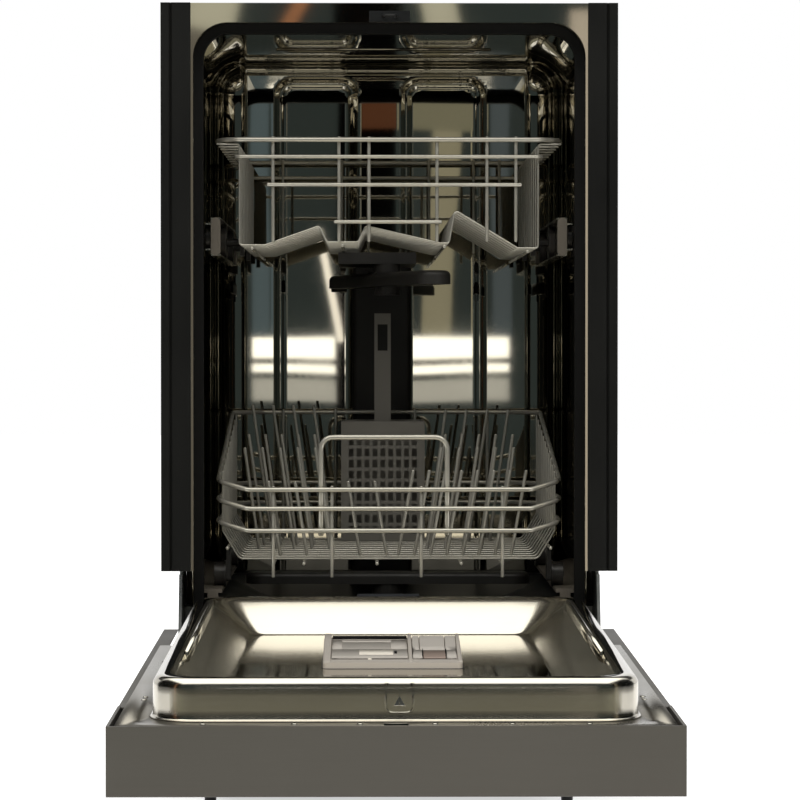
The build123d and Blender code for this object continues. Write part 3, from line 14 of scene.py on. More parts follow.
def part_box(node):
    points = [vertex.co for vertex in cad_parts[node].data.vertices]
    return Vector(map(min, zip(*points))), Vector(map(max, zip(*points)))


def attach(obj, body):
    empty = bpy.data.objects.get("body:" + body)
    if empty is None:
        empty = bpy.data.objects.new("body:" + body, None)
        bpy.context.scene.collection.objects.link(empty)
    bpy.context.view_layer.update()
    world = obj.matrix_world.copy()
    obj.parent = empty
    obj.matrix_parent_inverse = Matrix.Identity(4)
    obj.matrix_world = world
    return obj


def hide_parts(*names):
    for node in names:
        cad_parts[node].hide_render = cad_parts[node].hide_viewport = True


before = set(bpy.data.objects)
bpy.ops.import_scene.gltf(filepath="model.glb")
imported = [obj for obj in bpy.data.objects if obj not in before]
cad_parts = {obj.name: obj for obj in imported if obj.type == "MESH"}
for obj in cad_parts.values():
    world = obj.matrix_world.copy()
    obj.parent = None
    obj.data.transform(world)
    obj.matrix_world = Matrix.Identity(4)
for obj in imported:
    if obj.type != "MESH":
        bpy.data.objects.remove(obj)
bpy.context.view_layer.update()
LOG = logging.getLogger("dishwasher")

MM = 0.001
QUARTER = math.pi / 2
FULL_TURN = 2 * math.pi
# The side trims' front face is local depth 0, and all sizes below are millimetres from there.
FRONT_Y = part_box("side_trim_left")[0].y
HINGE_Y = -24.0
HINGE_Z = 185.0
DOOR_OPEN = math.radians(91.0)

# How the fine grain and the slow clouds of a surface share its colour and its shine.
GRAIN_DETAIL, CLOUD_DETAIL = 3.0, 2.0
GRAIN_SHARE, GRAIN_OFFSET = 0.45, -0.22
NOISE_LOW, NOISE_HIGH = 0.25, 0.75
LEAST_ROUGHNESS = 0.02
# Upward part of the normal where a stretched wall is fully dull, and where it is bright again.
LEAN_DULL, LEAN_BRIGHT = 0.80, 0.97
# Sockets of the mix node's colour side, which share their names with its other sides.
MIX_FACTOR, MIX_A, MIX_B, MIX_RESULT = 0, 6, 7, 2

# A wire's domed end: places along the dome, and its height as a share of the wire's radius.
DOME_STEPS = (0.35, 0.7, 0.95)
DOME_HEIGHT = 0.6
# Bends: the least turn that is rounded, the most of a leg that a bend takes, and its steps.
STRAIGHT = 0.02
BEND_REACH = 0.48
BEND_STEP = math.radians(12)
BEND_LEAST_STEPS = 3
# Rounded edges of bars: steps of the round, and the most of the half width that it takes.
BAR_STEPS = 6
BAR_ROUND = 0.98
LEAST_CORNER = 0.05
# Modifiers: distance in metres at which points are joined, steps of an edge and its least angle.
WELD_GAP = 0.00001
EDGE_STEPS = 3
EDGE_ANGLE = math.radians(35)
TINY = 1e-6

Loop = list[Vector]
Profile = list[tuple[float, float]]
Mapper = Callable[[Vector], Vector]


def place(point: Vector) -> Vector:
    """Local millimetres to the row frame in metres.

    Args:
        point: A point in local millimetres.

    Returns:
        The same point in metres in the row frame.
    """
    return Vector((point.x * MM, point.y * MM + FRONT_Y, point.z * MM))


def swung(point: Vector, axis_y: float, axis_z: float, angle: float) -> Vector:
    """A point turned about a line that runs across the machine.

    Args:
        point: A point in local millimetres.
        axis_y: Depth of the line.
        axis_z: Height of the line.
        angle: The turn in radians.

    Returns:
        The turned point in local millimetres.
    """
    y, z = point.y - axis_y, point.z - axis_z
    cos, sin = math.cos(angle), math.sin(angle)
    return Vector((point.x, axis_y + y * cos - z * sin, axis_z + y * sin + z * cos))


def place_door(point: Vector) -> Vector:
    """A point of the closed door, carried to where it lies with the door open.

    Args:
        point: A point of the closed door in local millimetres.

    Returns:
        The point on the open door, in metres in the row frame.
    """
    return place(swung(point, HINGE_Y, HINGE_Z, DOOR_OPEN))


def linear(hex_colour: str) -> tuple[float, float, float, float]:
    """An sRGB hex colour as linear RGBA.

    Args:
        hex_colour: Six hex digits after a hash sign.

    Returns:
        Linear red, green, blue and an alpha of 1.
    """
    parts = [int(hex_colour[i:i + 2], 16) / 255 for i in (1, 3, 5)]
    r, g, b = [c / 12.92 if c <= 0.04045 else ((c + 0.055) / 1.055) ** 2.4 for c in parts]
    return r, g, b, 1.0


def add_node(tree: bpy.types.NodeTree, kind: str, settings: dict[str, Any] | None = None,
             inputs: dict[Any, Any] | None = None) -> bpy.types.Node:
    """Adds a node with its settings and links.

    Args:
        tree: The node tree.
        kind: Blender's name of the node type.
        settings: Values of the node's own properties.
        inputs: A socket to link from, or a plain value, by input name or number.

    Returns:
        The new node.
    """
    node = tree.nodes.new(kind)
    for key, value in (settings or {}).items():
        setattr(node, key, value)
    for key, value in (inputs or {}).items():
        if isinstance(value, bpy.types.NodeSocket):
            tree.links.new(value, node.inputs[key])
        else:
            node.inputs[key].default_value = value
    return node


def add_object(name: str, data: bpy.types.ID) -> bpy.types.Object:
    """Adds an object to the scene.

    Args:
        name: Its name.
        data: Its mesh, light or camera.

    Returns:
        The new object.
    """
    made = bpy.data.objects.new(name, data)
    bpy.context.scene.collection.objects.link(made)
    return made


class Surface(Enum):
    """How a material's surface was made, as the stretch of its grain along X, Y and Z."""

    # The thousandths only keep apart surfaces whose grain isn't stretched.
    POLISHED = (1.0, 1.0, 1.0)
    MOULDED = (1.0, 1.0, 1.001)
    COATED = (1.0, 1.001, 1.0)
    NEEDLED = (1.001, 1.0, 1.0)
    BRUSHED_ALONG_X = (0.03, 1.0, 1.0)
    BRUSHED_ALONG_Z = (1.0, 1.0, 0.03)


@dataclass(frozen=True)
class Finish:
    """One real material: its colours, how shiny it is and the grain of its surface."""

    name: str
    base: str
    tone: str
    surface: Surface
    grain_mm: float
    roughness: float
    spread: float = 0.06
    metallic: float = 0.0
    bump_mm: float = 0.02
    bump: float = 0.2
    cloud_mm: float = 90.0
    specular: float = 0.5
    wave_mm: float = 0.0
    wave_deep_mm: float = 0.0
    dull: float = 0.0

    def material(self) -> bpy.types.Material:
        """The material, made once.

        Returns:
            A procedural material named for what it is.
        """
        found = bpy.data.materials.get(self.name)
        if found:
            return found
        made = bpy.data.materials.new(self.name)
        made.use_nodes = True
        tree = made.node_tree
        shader = tree.nodes["Principled BSDF"]
        shader.inputs["Metallic"].default_value = self.metallic
        if not self.metallic:
            shader.inputs["Specular IOR Level"].default_value = self.specular
        coords = add_node(tree, "ShaderNodeTexCoord")
        stretched = add_node(tree, "ShaderNodeMapping", inputs={
            "Vector": coords.outputs["Object"], "Scale": self.surface.value})
        grain = add_node(tree, "ShaderNodeTexNoise", inputs={
            "Vector": stretched.outputs["Vector"], "Scale": 1 / (self.grain_mm * MM),
            "Detail": GRAIN_DETAIL})
        cloud = add_node(tree, "ShaderNodeTexNoise", inputs={
            "Vector": coords.outputs["Object"], "Scale": 1 / (self.cloud_mm * MM),
            "Detail": CLOUD_DETAIL})
        fine = add_node(tree, "ShaderNodeMath", {"operation": "MULTIPLY_ADD"}, {
            0: grain.outputs["Fac"], 1: GRAIN_SHARE, 2: GRAIN_OFFSET})
        mixed = add_node(tree, "ShaderNodeMath", {"operation": "ADD", "use_clamp": True}, {
            0: cloud.outputs["Fac"], 1: fine.outputs["Value"]})
        colour = add_node(tree, "ShaderNodeMix", {"data_type": "RGBA"}, {
            MIX_FACTOR: mixed.outputs["Value"], MIX_A: linear(self.base),
            MIX_B: linear(self.tone)})
        tree.links.new(colour.outputs[MIX_RESULT], shader.inputs["Base Color"])
        rough = add_node(tree, "ShaderNodeMapRange", inputs={
            "Value": mixed.outputs["Value"], "From Min": NOISE_LOW, "From Max": NOISE_HIGH,
            "To Min": max(LEAST_ROUGHNESS, self.roughness - self.spread),
            "To Max": self.roughness + self.spread})
        shine = rough.outputs["Result"]
        if self.dull:
            # Stretched walls lean off the sheet's flat and lose the mill's polish.
            normal = add_node(tree, "ShaderNodeSeparateXYZ", inputs={
                "Vector": coords.outputs["Normal"]})
            lean = add_node(tree, "ShaderNodeMapRange", inputs={
                "Value": normal.outputs["Z"], "From Min": LEAN_DULL, "From Max": LEAN_BRIGHT,
                "To Min": self.dull, "To Max": 0.0})
            shine = add_node(tree, "ShaderNodeMath", {"operation": "ADD"}, {
                0: shine, 1: lean.outputs["Result"]}).outputs["Value"]
        tree.links.new(shine, shader.inputs["Roughness"])
        bump = add_node(tree, "ShaderNodeBump", inputs={
            "Height": grain.outputs["Fac"], "Strength": self.bump, "Distance": self.bump_mm * MM})
        if self.wave_mm:
            # Drawn sheet is never quite flat, and its slow waves bend what it mirrors.
            wave = add_node(tree, "ShaderNodeTexNoise", inputs={
                "Vector": coords.outputs["Object"], "Scale": 1 / (self.wave_mm * MM),
                "Detail": 0.0})
            slow = add_node(tree, "ShaderNodeBump", inputs={
                "Height": wave.outputs["Fac"], "Strength": 1.0,
                "Distance": self.wave_deep_mm * MM})
            tree.links.new(slow.outputs["Normal"], bump.inputs["Normal"])
        tree.links.new(bump.outputs["Normal"], shader.inputs["Normal"])
        return made


# Brush lines, moulded grit and lacquer are finer than the render shows, so their grain is drawn
# about a millimetre wide.

# Deep-drawn stainless tub: a mirror, with slow waves left by the press.
TUB_STEEL = Finish(
    "polished_stainless_tub", "#b4afa2", "#c0bbae", Surface.POLISHED, grain_mm=4.0, roughness=0.026,
    spread=0.006, metallic=1.0, bump_mm=0.002, bump=0.1, wave_mm=140.0, wave_deep_mm=0.16)
# Bright stainless front frame: flatter sheet, sharper mirror.
FRAME_STEEL = Finish(
    "bright_stainless_frame", "#bdb8ab", "#c8c3b7", Surface.POLISHED, grain_mm=3.0, roughness=0.04,
    spread=0.01, metallic=1.0, bump_mm=0.002, bump=0.1, wave_mm=260.0, wave_deep_mm=0.12)
# Pressed door liner: bright on the flat, satin where the press stretched the sheet.
LINER_STEEL = Finish(
    "pressed_stainless_liner", "#bdb8ac", "#c8c3b7", Surface.BRUSHED_ALONG_X, grain_mm=1.2,
    roughness=0.06, spread=0.01, metallic=1.0, bump_mm=0.002, bump=0.1, wave_mm=120.0,
    wave_deep_mm=0.2, dull=0.13)
# The liner's flange: the same sheet, left satin and greyer by the folding rollers.
FLANGE_STEEL = Finish(
    "satin_stainless_flange", "#8b877f", "#979389", Surface.BRUSHED_ALONG_Z, grain_mm=1.4,
    roughness=0.3, spread=0.05, metallic=1.0, bump_mm=0.004, bump=0.15)
# Zinc-plated steel of hinges and brackets: grey, slightly spangled.
ZINC_STEEL = Finish(
    "zinc_plated_steel", "#8d8f90", "#a3a4a2", Surface.POLISHED, grain_mm=9.0, roughness=0.34,
    spread=0.08, metallic=1.0, bump_mm=0.01)
# Roll-formed stainless rails: bright, with a soft blur.
RAIL_STEEL = Finish(
    "rolled_stainless_rail", "#b9b5a8", "#c6c2b6", Surface.POLISHED, grain_mm=2.0, roughness=0.2,
    spread=0.04, metallic=1.0, bump_mm=0.01)
# Coated sheet of door front and console: brown-grey, brushed across, low gloss.
DOOR_COAT = Finish(
    "brown_grey_brushed_coating", "#57544d", "#5f5b54", Surface.BRUSHED_ALONG_X, grain_mm=1.6,
    roughness=0.5, bump_mm=0.01, cloud_mm=160.0, specular=0.3)
# Side strips: extruded ABS, satin black with a fine drawn grain.
TRIM_ABS = Finish(
    "extruded_black_abs", "#111110", "#161614", Surface.BRUSHED_ALONG_Z, grain_mm=2.4,
    roughness=0.42, bump_mm=0.015, specular=0.25)
# Moulded EPDM seal: dull black rubber.
SEAL_RUBBER = Finish(
    "epdm_seal_rubber", "#0a0a0a", "#0f0f0f", Surface.MOULDED, grain_mm=0.9, roughness=0.6,
    specular=0.25)
# Nylon-coated steel wire: warm grey, smooth, with a soft metallic gloss.
WIRE_NYLON = Finish(
    "nylon_coated_wire", "#bfbbae", "#c9c5b8", Surface.COATED, grain_mm=6.0, roughness=0.22,
    spread=0.03, metallic=0.6, bump_mm=0.005, bump=0.05)
# Glass-filled polypropylene inside the tub: near black, spark-eroded grain.
DARK_PP = Finish(
    "dark_polypropylene", "#232220", "#2b2926", Surface.MOULDED, grain_mm=1.1, roughness=0.42,
    specular=0.35)
# Black polypropylene of feet, sump and housings: plain moulding with a low sheen.
BLACK_PP = Finish(
    "black_polypropylene", "#131414", "#1a1b1b", Surface.MOULDED, grain_mm=1.3, roughness=0.38,
    specular=0.3)
# Base tray of recycled polypropylene: charcoal, coarser grain, nearly matt.
BASE_PP = Finish(
    "recycled_base_polypropylene", "#1e1e21", "#27272a", Surface.MOULDED, grain_mm=1.6,
    roughness=0.55, bump_mm=0.04, specular=0.3)
# Cutlery basket: dark warm grey polypropylene.
BASKET_PP = Finish(
    "grey_basket_polypropylene", "#716d64", "#7b776d", Surface.MOULDED, grain_mm=1.0,
    roughness=0.45)
# Acetal rollers: dense, waxy dark plastic.
ROLLER_POM = Finish(
    "dark_acetal_roller", "#262422", "#302d2a", Surface.MOULDED, grain_mm=0.8, roughness=0.34,
    spread=0.05, bump_mm=0.01)
# Acetal ledges and rail caps: the same waxy plastic in taupe.
CAP_POM = Finish(
    "taupe_acetal_cap", "#5d564b", "#686156", Surface.MOULDED, grain_mm=0.8, roughness=0.42,
    spread=0.05, bump_mm=0.01)
# Dispenser mouldings: warm pale grey polypropylene, matt.
DISPENSER_PP = Finish(
    "warm_grey_polypropylene", "#bcb4a9", "#c5bdb2", Surface.MOULDED, grain_mm=0.8, roughness=0.6,
    spread=0.05, bump_mm=0.01, specular=0.15)
# Dispenser lids and buttons: a shade lighter than the dispenser, matt.
LID_PP = Finish(
    "soft_grey_lid_polypropylene", "#bdb6ac", "#c6bfb5", Surface.MOULDED, grain_mm=0.8,
    roughness=0.6, spread=0.05, bump_mm=0.01, specular=0.15)
# Finger lip of the rinse-aid lid: taupe polypropylene, matt.
LIP_PP = Finish(
    "taupe_lip_polypropylene", "#9a887c", "#a39185", Surface.MOULDED, grain_mm=0.8, roughness=0.6,
    spread=0.05, bump_mm=0.01, specular=0.15)
# Bare plate and catch of the detergent lid: ivory, the palest plastic here.
TAB_PP = Finish(
    "ivory_tab_polypropylene", "#efe6d6", "#f4ecdd", Surface.MOULDED, grain_mm=0.8, roughness=0.5,
    spread=0.05, bump_mm=0.01, specular=0.15)
# Needled bitumen-backed felt: dull, fibrous.
FELT = Finish(
    "needled_felt", "#3d3a37", "#57534e", Surface.NEEDLED, grain_mm=2.4, roughness=0.92,
    spread=0.05, bump_mm=0.8, bump=0.7, cloud_mm=30.0, specular=0.2)
# Painted pump motor: dark grey with a slight gloss.
MOTOR_PAINT = Finish(
    "grey_motor_paint", "#3a3d40", "#484b4e", Surface.COATED, grain_mm=1.5, roughness=0.45,
    spread=0.08, bump_mm=0.03)
# Inlet valve of polyamide: off-white, satin.
VALVE_PA = Finish(
    "white_valve_polyamide", "#bdbdb8", "#cbcbc6", Surface.MOULDED, grain_mm=0.9, roughness=0.4,
    bump_mm=0.03)
# Filter cup: mid grey polypropylene, satin.
FILTER_PP = Finish(
    "grey_filter_polypropylene", "#45474a", "#52545a", Surface.MOULDED, grain_mm=0.9,
    roughness=0.42, bump_mm=0.03)
# Circuit board of glass-filled epoxy: green lacquer with some gloss.
BOARD_GLASS = Finish(
    "green_glass_epoxy_board", "#123f22", "#1a5530", Surface.COATED, grain_mm=1.2, roughness=0.3)
# Pan-head screws: small, bright and a little scratched.
SCREW_STEEL = Finish(
    "pan_head_screw_steel", "#b3b1aa", "#c4c2bb", Surface.POLISHED, grain_mm=0.7, roughness=0.2,
    metallic=1.0)
# Painted shade: near-black plastic laid in slots and gaps, standing for the shadow that lies deep
# in them.
SHADE_PP = Finish(
    "deep_shadow_polypropylene", "#070707", "#0b0b0b", Surface.MOULDED, grain_mm=1.0, roughness=0.7,
    spread=0.05, specular=0.1)

CAD_FINISHES: dict[str, Finish] = {
    "tub_floor": BLACK_PP, "front_flange": FRAME_STEEL, "door_gasket": SEAL_RUBBER,
    "side_trim_left": TRIM_ABS, "side_trim_right": TRIM_ABS, "latch_strike": BLACK_PP,
    "insulation_jacket": FELT, "base_tray": BASE_PP, "kick_plate": ZINC_STEEL,
    "hinge_brackets": ZINC_STEEL, "hinge_cassettes": ZINC_STEEL, "roller_tracks": CAP_POM,
    "rail_supports": DARK_PP, "inner_pipe": DARK_PP, "sump_bowl": BLACK_PP,
    "circulation_pump": MOTOR_PAINT, "drain_pump": BLACK_PP, "inlet_valve": VALVE_PA,
    "junction_box": BLACK_PP, "foot_front_left": BLACK_PP, "foot_front_right": BLACK_PP,
    "foot_rear_left": BLACK_PP, "foot_rear_right": BLACK_PP, "filter_cup": FILTER_PP,
    "lower_spray_arm": DARK_PP, "wall_rollers_front": ROLLER_POM, "wall_rollers_rear": ROLLER_POM,
    "rack_rails": RAIL_STEEL, "rail_end_caps": CAP_POM, "door_outer_panel": DOOR_COAT,
    "door_insulation": FELT, "control_panel": DOOR_COAT, "control_board": BOARD_GLASS,
    "dispenser_body": DISPENSER_PP, "latch_housing": BLACK_PP, "hinge_arms": ZINC_STEEL,
    "latch_pawl": ZINC_STEEL, "power_button": LID_PP, "program_button": LID_PP,
    "start_button": LID_PP, "upper_roller_mounts": DARK_PP, "upper_spray_feed": DARK_PP,
    "upper_spray_arm": DARK_PP, "upper_rollers_front": ROLLER_POM, "upper_rollers_rear": ROLLER_POM,
    "lower_wheel_mounts": DARK_PP, "lower_wheels_front": ROLLER_POM,
    "lower_wheels_rear": ROLLER_POM, "cutlery_basket": BASKET_PP,
}


@dataclass
class Shell:
    """Points and faces of one piece while it is being made."""

    points: Loop = field(default_factory=list)
    faces: list[tuple[int, ...]] = field(default_factory=list)

    def add(self, points: Sequence[Vector], faces: Iterable[Sequence[int]]) -> None:
        """Adds points and the faces between them.

        Args:
            points: New points in local millimetres.
            faces: Faces as numbers into the new points.
        """
        first = len(self.points)
        self.points.extend(points)
        self.faces.extend(tuple(first + i for i in face) for face in faces)

    def bridge(self, loops: Sequence[Loop], closed: bool = True) -> None:
        """Skins a row of loops that have the same number of points.

        Args:
            loops: The loops in order.
            closed: Whether each loop closes on itself.
        """
        count = len(loops[0])
        last = count if closed else count - 1
        faces = []
        for row in range(len(loops) - 1):
            near, far = row * count, (row + 1) * count
            for i in range(last):
                j = (i + 1) % count
                faces.append((near + i, near + j, far + j, far + i))
        self.add([p for loop in loops for p in loop], faces)

    def cap(self, loop: Loop) -> None:
        """Closes a loop with one face."""
        self.add(loop, [tuple(range(len(loop)))])

    def box(self, low: Sequence[float], high: Sequence[float]) -> None:
        """Adds a box between two corners.

        Args:
            low: Lowest corner.
            high: Highest corner.
        """
        (x0, y0, z0), (x1, y1, z1) = low, high
        corners = [Vector((x, y, z)) for x in (x0, x1) for y in (y0, y1) for z in (z0, z1)]
        self.add(corners, [(0, 1, 3, 2), (4, 6, 7, 5), (0, 4, 5, 1),
                           (2, 3, 7, 6), (0, 2, 6, 4), (1, 5, 7, 3)])

    def bar(self, x0: float, x1: float, profile: Profile, under: float, edge: float = 0.8) -> None:
        """Adds a bar along Z with a rounded top and a height that varies along it.

        Args:
            x0: Its left side.
            x1: Its right side.
            profile: Places along it and the depth of its top there.
            under: Depth of its underside.
            edge: Largest radius of its upper edges.
        """
        half, middle = (x1 - x0) / 2, (x0 + x1) / 2
        edge = min(edge, half * BAR_ROUND)
        arc = [(math.sin(a) * edge, (math.cos(a) - 1) * edge)
               for a in spaced(0.0, QUARTER, BAR_STEPS)]
        loops = []
        for z, top in profile:
            right = [Vector((middle + half - edge + dx, top + dy, z)) for dx, dy in arc]
            right.append(Vector((middle + half, under, z)))
            loops.append(mirrored(right, middle) + right)
        self.bridge(loops)
        self.cap(loops[0][::-1])
        self.cap(loops[-1])

    def tube(self, path: Loop, radius: float, sides: int = 12, closed: bool = False) -> None:
        """Adds a round wire along a path, with domed ends.

        Args:
            path: Points along the middle of the wire.
            radius: Radius of the wire.
            sides: Number of sides of its section.
            closed: Whether the wire closes on itself.
        """
        count = len(path)
        angles = [FULL_TURN * k / sides for k in range(sides)]
        turned: list[tuple[Vector, Vector, Vector]] = []
        side = None
        for i, point in enumerate(path):
            before = path[i - 1] if i or closed else path[i]
            after = path[(i + 1) % count] if i < count - 1 or closed else path[i]
            along = (after - before).normalized()
            if side is None:
                side = along.orthogonal().normalized()
            side = (side - along * side.dot(along)).normalized()
            turned.append((point, along, side))

        def ring(point: Vector, along: Vector, side: Vector, size: float) -> Loop:
            """One section of the wire."""
            other = along.cross(side)
            return [point + (side * math.cos(a) + other * math.sin(a)) * size for a in angles]

        def dome(end: tuple[Vector, Vector, Vector], way: float) -> list[Loop]:
            """The sections of a domed end, from the wire outwards."""
            point, along, side = end
            return [ring(point + along * (way * radius) * DOME_HEIGHT * d, along, side,
                         radius * math.sqrt(1 - d * d)) for d in DOME_STEPS]

        rings = [ring(*item, radius) for item in turned]
        if closed:
            self.bridge(rings + rings[:1])
            return
        rings = dome(turned[0], -1.0)[::-1] + rings + dome(turned[-1], 1.0)
        self.bridge(rings)
        self.cap(rings[0][::-1])
        self.cap(rings[-1])

    def rod(self, start: Sequence[float], end: Sequence[float], radius: float) -> None:
        """Adds a straight round wire between two points."""
        self.tube([Vector(start), Vector(end)], radius)


def spaced(first: float, last: float, count: int) -> list[float]:
    """Evenly spaced values from first to last."""
    return [first + (last - first) * i / (count - 1) for i in range(count)]


def mirrored(points: Loop, middle: float = 0.0) -> Loop:
    """The points mirrored across the width and in reverse order."""
    return [Vector((2 * middle - p.x, p.y, p.z)) for p in reversed(points)]


def bent(points: Sequence[Sequence[float]], bend: float, closed: bool = False) -> Loop:
    """A path with its corners rounded as a bent wire's are.

    Args:
        points: Corner points in local millimetres.
        bend: Radius of the bends.
        closed: Whether the path closes on itself.

    Returns:
        The points of the rounded path.
    """
    corners = [Vector(p) for p in points]
    count = len(corners)
    path: Loop = []
    for i, corner in enumerate(corners):
        if not closed and i in (0, count - 1):
            path.append(corner)
            continue
        back = corners[i - 1] - corner
        ahead = corners[(i + 1) % count] - corner
        inside = back.angle(ahead)
        turn = math.pi - inside
        if turn < STRAIGHT:
            path.append(corner)
            continue
        reach = min(bend * math.tan(turn / 2), BEND_REACH * min(back.length, ahead.length))
        radius = reach / math.tan(turn / 2)
        inward = (back.normalized() + ahead.normalized()).normalized()
        centre = corner + inward * (radius / math.sin(inside / 2))
        arm = corner + back.normalized() * reach - centre
        axis = arm.cross(corner + ahead.normalized() * reach - centre)
        steps = max(BEND_LEAST_STEPS, math.ceil(turn / BEND_STEP))
        path += [centre + Quaternion(axis, turn * k / steps) @ arm for k in range(steps + 1)]
    return path


def rect_loop(half: float, z0: float, z1: float, corner: float, y: float, arc: int = 8,
              run: int = 6) -> Loop:
    """A rounded rectangle that stands at one depth.

    Args:
        half: Half its width.
        z0: Its lowest height.
        z1: Its highest height.
        corner: Radius of its corners.
        y: Its depth.
        arc: Steps in each corner.
        run: Steps along each side.

    Returns:
        Points round the rectangle.
    """
    corner = max(corner, LEAST_CORNER)
    middles = [(half - corner, z0 + corner, -90), (half - corner, z1 - corner, 0),
               (-half + corner, z1 - corner, 90), (-half + corner, z0 + corner, 180)]
    loop: Loop = []
    for k, (x, z, start) in enumerate(middles):
        for i in range(arc + 1):
            a = math.radians(start + 90 * i / arc)
            loop.append(Vector((x + corner * math.cos(a), y, z + corner * math.sin(a))))
        nx, nz, begin = middles[(k + 1) % 4]
        a = math.radians(begin)
        ahead = Vector((nx + corner * math.cos(a), y, nz + corner * math.sin(a)))
        loop += [loop[-1].lerp(ahead, i / run) for i in range(1, run)]
    return loop


def make_piece(name: str, shell: Shell, finish: Finish, body: str, slot: str,
               mapper: Mapper = place, bevel: float = 0.0, thick: float = 0.0,
               smooth: float = 40.0, stands_for: Sequence[str] = ()) -> bpy.types.Object:
    """Makes one piece of the object and fixes it to its body.

    Args:
        name: Name of the piece.
        shell: Its points and faces in local millimetres.
        finish: Its material.
        body: The CAD body it moves with.
        slot: The record's material slot; not used.
        mapper: Carries local millimetres to the row frame.
        bevel: Width of rounded edges in millimetres.
        thick: Thickness of a sheet in millimetres, added on its back.
        smooth: Largest angle in degrees that is shaded smooth.
        stands_for: CAD nodes that it replaces.

    Returns:
        The new object.
    """
    mesh = bpy.data.meshes.new(name)
    mesh.from_pydata([mapper(p) for p in shell.points], [], shell.faces)
    mesh.validate()
    mesh.update()
    mesh.shade_smooth()
    made = add_object(name, mesh)
    weld = made.modifiers.new("weld", "WELD")
    weld.merge_threshold = WELD_GAP
    if thick:
        solid = made.modifiers.new("sheet", "SOLIDIFY")
        solid.thickness = thick * MM
        solid.offset = -1.0
    if bevel:
        edge = made.modifiers.new("edge", "BEVEL")
        edge.width = bevel * MM
        edge.segments = EDGE_STEPS
        edge.limit_method = "ANGLE"
        edge.angle_limit = EDGE_ANGLE
    mesh.set_sharp_from_angle(angle=math.radians(smooth))
    mesh.materials.append(finish.material())
    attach(made, body)
    if stands_for:
        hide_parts(*stands_for)
    LOG.info("%s: %d faces on %s", name, len(mesh.polygons), body)
    return made


@dataclass
class Tub:
    """The stainless tub with its pressed beads."""

    half: float = 194.0
    top: float = 808.0
    seat: float = 232.0
    front: float = 5.2
    back: float = 480.0
    corner: float = 36.0
    rear_round: float = 34.0
    ceiling_round: float = 10.0
    sheet: float = 1.0
    bead_centres: tuple[float, float] = (-78.5, 64.5)
    bead_loop: float = 91.0
    bead_width: float = 8.0
    bead_height: float = 3.0
    bead_top: float = 790.0
    bead_round: float = 18.0
    # A bead's flank runs out a little past half its width.
    bead_flank: float = 0.62
    rib_ends: tuple[float, float] = (-118.0, 110.0)
    rib_y: float = 293.0
    rib_z: float = 808.6
    rib_radius: float = 3.4
    # Steps of the mesh along each stretch, and the grid of the back wall.
    wall_steps: int = 14
    corner_steps: int = 19
    depth_steps: int = 26
    rear_steps: int = 11
    grid: float = 3.2

    def rear_radius(self, angle: float) -> float:
        """Radius of the rounding into the back wall, wide at the sides and tight at the ceiling.

        Args:
            angle: Place round the upper corner, 0 at the side and a quarter turn at the ceiling.

        Returns:
            The radius.
        """
        reaches = [(self.corner - self.rear_round) / max(math.cos(angle), TINY),
                   (self.corner - self.ceiling_round) / max(math.sin(angle), TINY)]
        return self.corner - min(reaches)

    def section(self, turn: float) -> Loop:
        """Side wall, ceiling and side wall as one open line on the rounding into the back wall.

        Args:
            turn: Place round that rounding, 0 where it starts and a quarter turn on the back wall.

        Returns:
            Points from the lower right to the lower left.
        """
        half = self.half - self.corner
        top = self.top - self.corner
        spots = [(0.0, z) for z in spaced(self.seat, top, self.wall_steps)]
        spots += [(a, top) for a in spaced(0.0, QUARTER, self.corner_steps)[1:]]
        right = []
        for angle, z in spots:
            radius = self.rear_radius(angle)
            reach = self.corner - radius * (1 - math.cos(turn))
            y = self.back - radius * (1 - math.sin(turn))
            right.append(Vector((half + reach * math.cos(angle), y, z + reach * math.sin(angle))))
        end = right[-1]
        ceiling = spaced(end.x, -end.x, self.wall_steps)[1:-1]
        return right + [Vector((x, end.y, end.z)) for x in ceiling] + mirrored(right)

    def pressed(self, x: float, z: float) -> float:
        """How far the beads stand forward at a place on the back wall.

        Args:
            x: Place across the wall.
            z: Height on the wall.

        Returns:
            Millimetres towards the front.
        """
        rise = 0.0
        half = self.bead_loop / 2 - self.bead_width / 2
        low = self.seat - self.bead_loop
        high = self.bead_top - self.bead_width / 2
        core = self.bead_round - self.bead_width / 2
        for centre in self.bead_centres:
            dx = abs(x - centre) - (half - core)
            dz = abs(z - (low + high) / 2) - ((high - low) / 2 - core)
            outside = math.hypot(max(dx, 0.0), max(dz, 0.0)) + min(max(dx, dz), 0.0) - core
            reach = abs(outside) / (self.bead_width * self.bead_flank)
            if reach < 1:
                rise += self.bead_height * 0.5 * (1 + math.cos(math.pi * reach))
        return rise

    def build(self) -> None:
        """Makes the tub and the rib in its ceiling."""
        shell = Shell()
        start = self.section(0.0)
        depths = spaced(self.front, self.back - self.rear_round, self.depth_steps)
        loops = [[Vector((p.x, y, p.z)) for p in start] for y in depths]
        loops += [self.section(a) for a in spaced(0.0, QUARTER, self.rear_steps)]
        shell.bridge(loops, closed=False)
        half = self.half - self.rear_round
        top = self.top - self.ceiling_round
        columns = spaced(-half, half, int(2 * half / self.grid))
        rows = spaced(self.seat, top, int((top - self.seat) / self.grid))
        shell.bridge([[Vector((x, self.back - self.pressed(x, z), z)) for x in columns]
                      for z in rows], closed=False)
        tub = make_piece("tub_drawn_shell", shell, TUB_STEEL, "cabinet", "tub_steel",
                         thick=self.sheet, smooth=60, stands_for=["tub_shell"])
        # The faces drawn here are the tub's inside, and its sheet lies outside them.
        tub.modifiers["sheet"].offset = 1.0
        rib = Shell()
        left, right = self.rib_ends
        rib.rod((left, self.rib_y, self.rib_z), (right, self.rib_y, self.rib_z), self.rib_radius)
        make_piece("tub_ceiling_bead", rib, TUB_STEEL, "cabinet", "tub_steel")


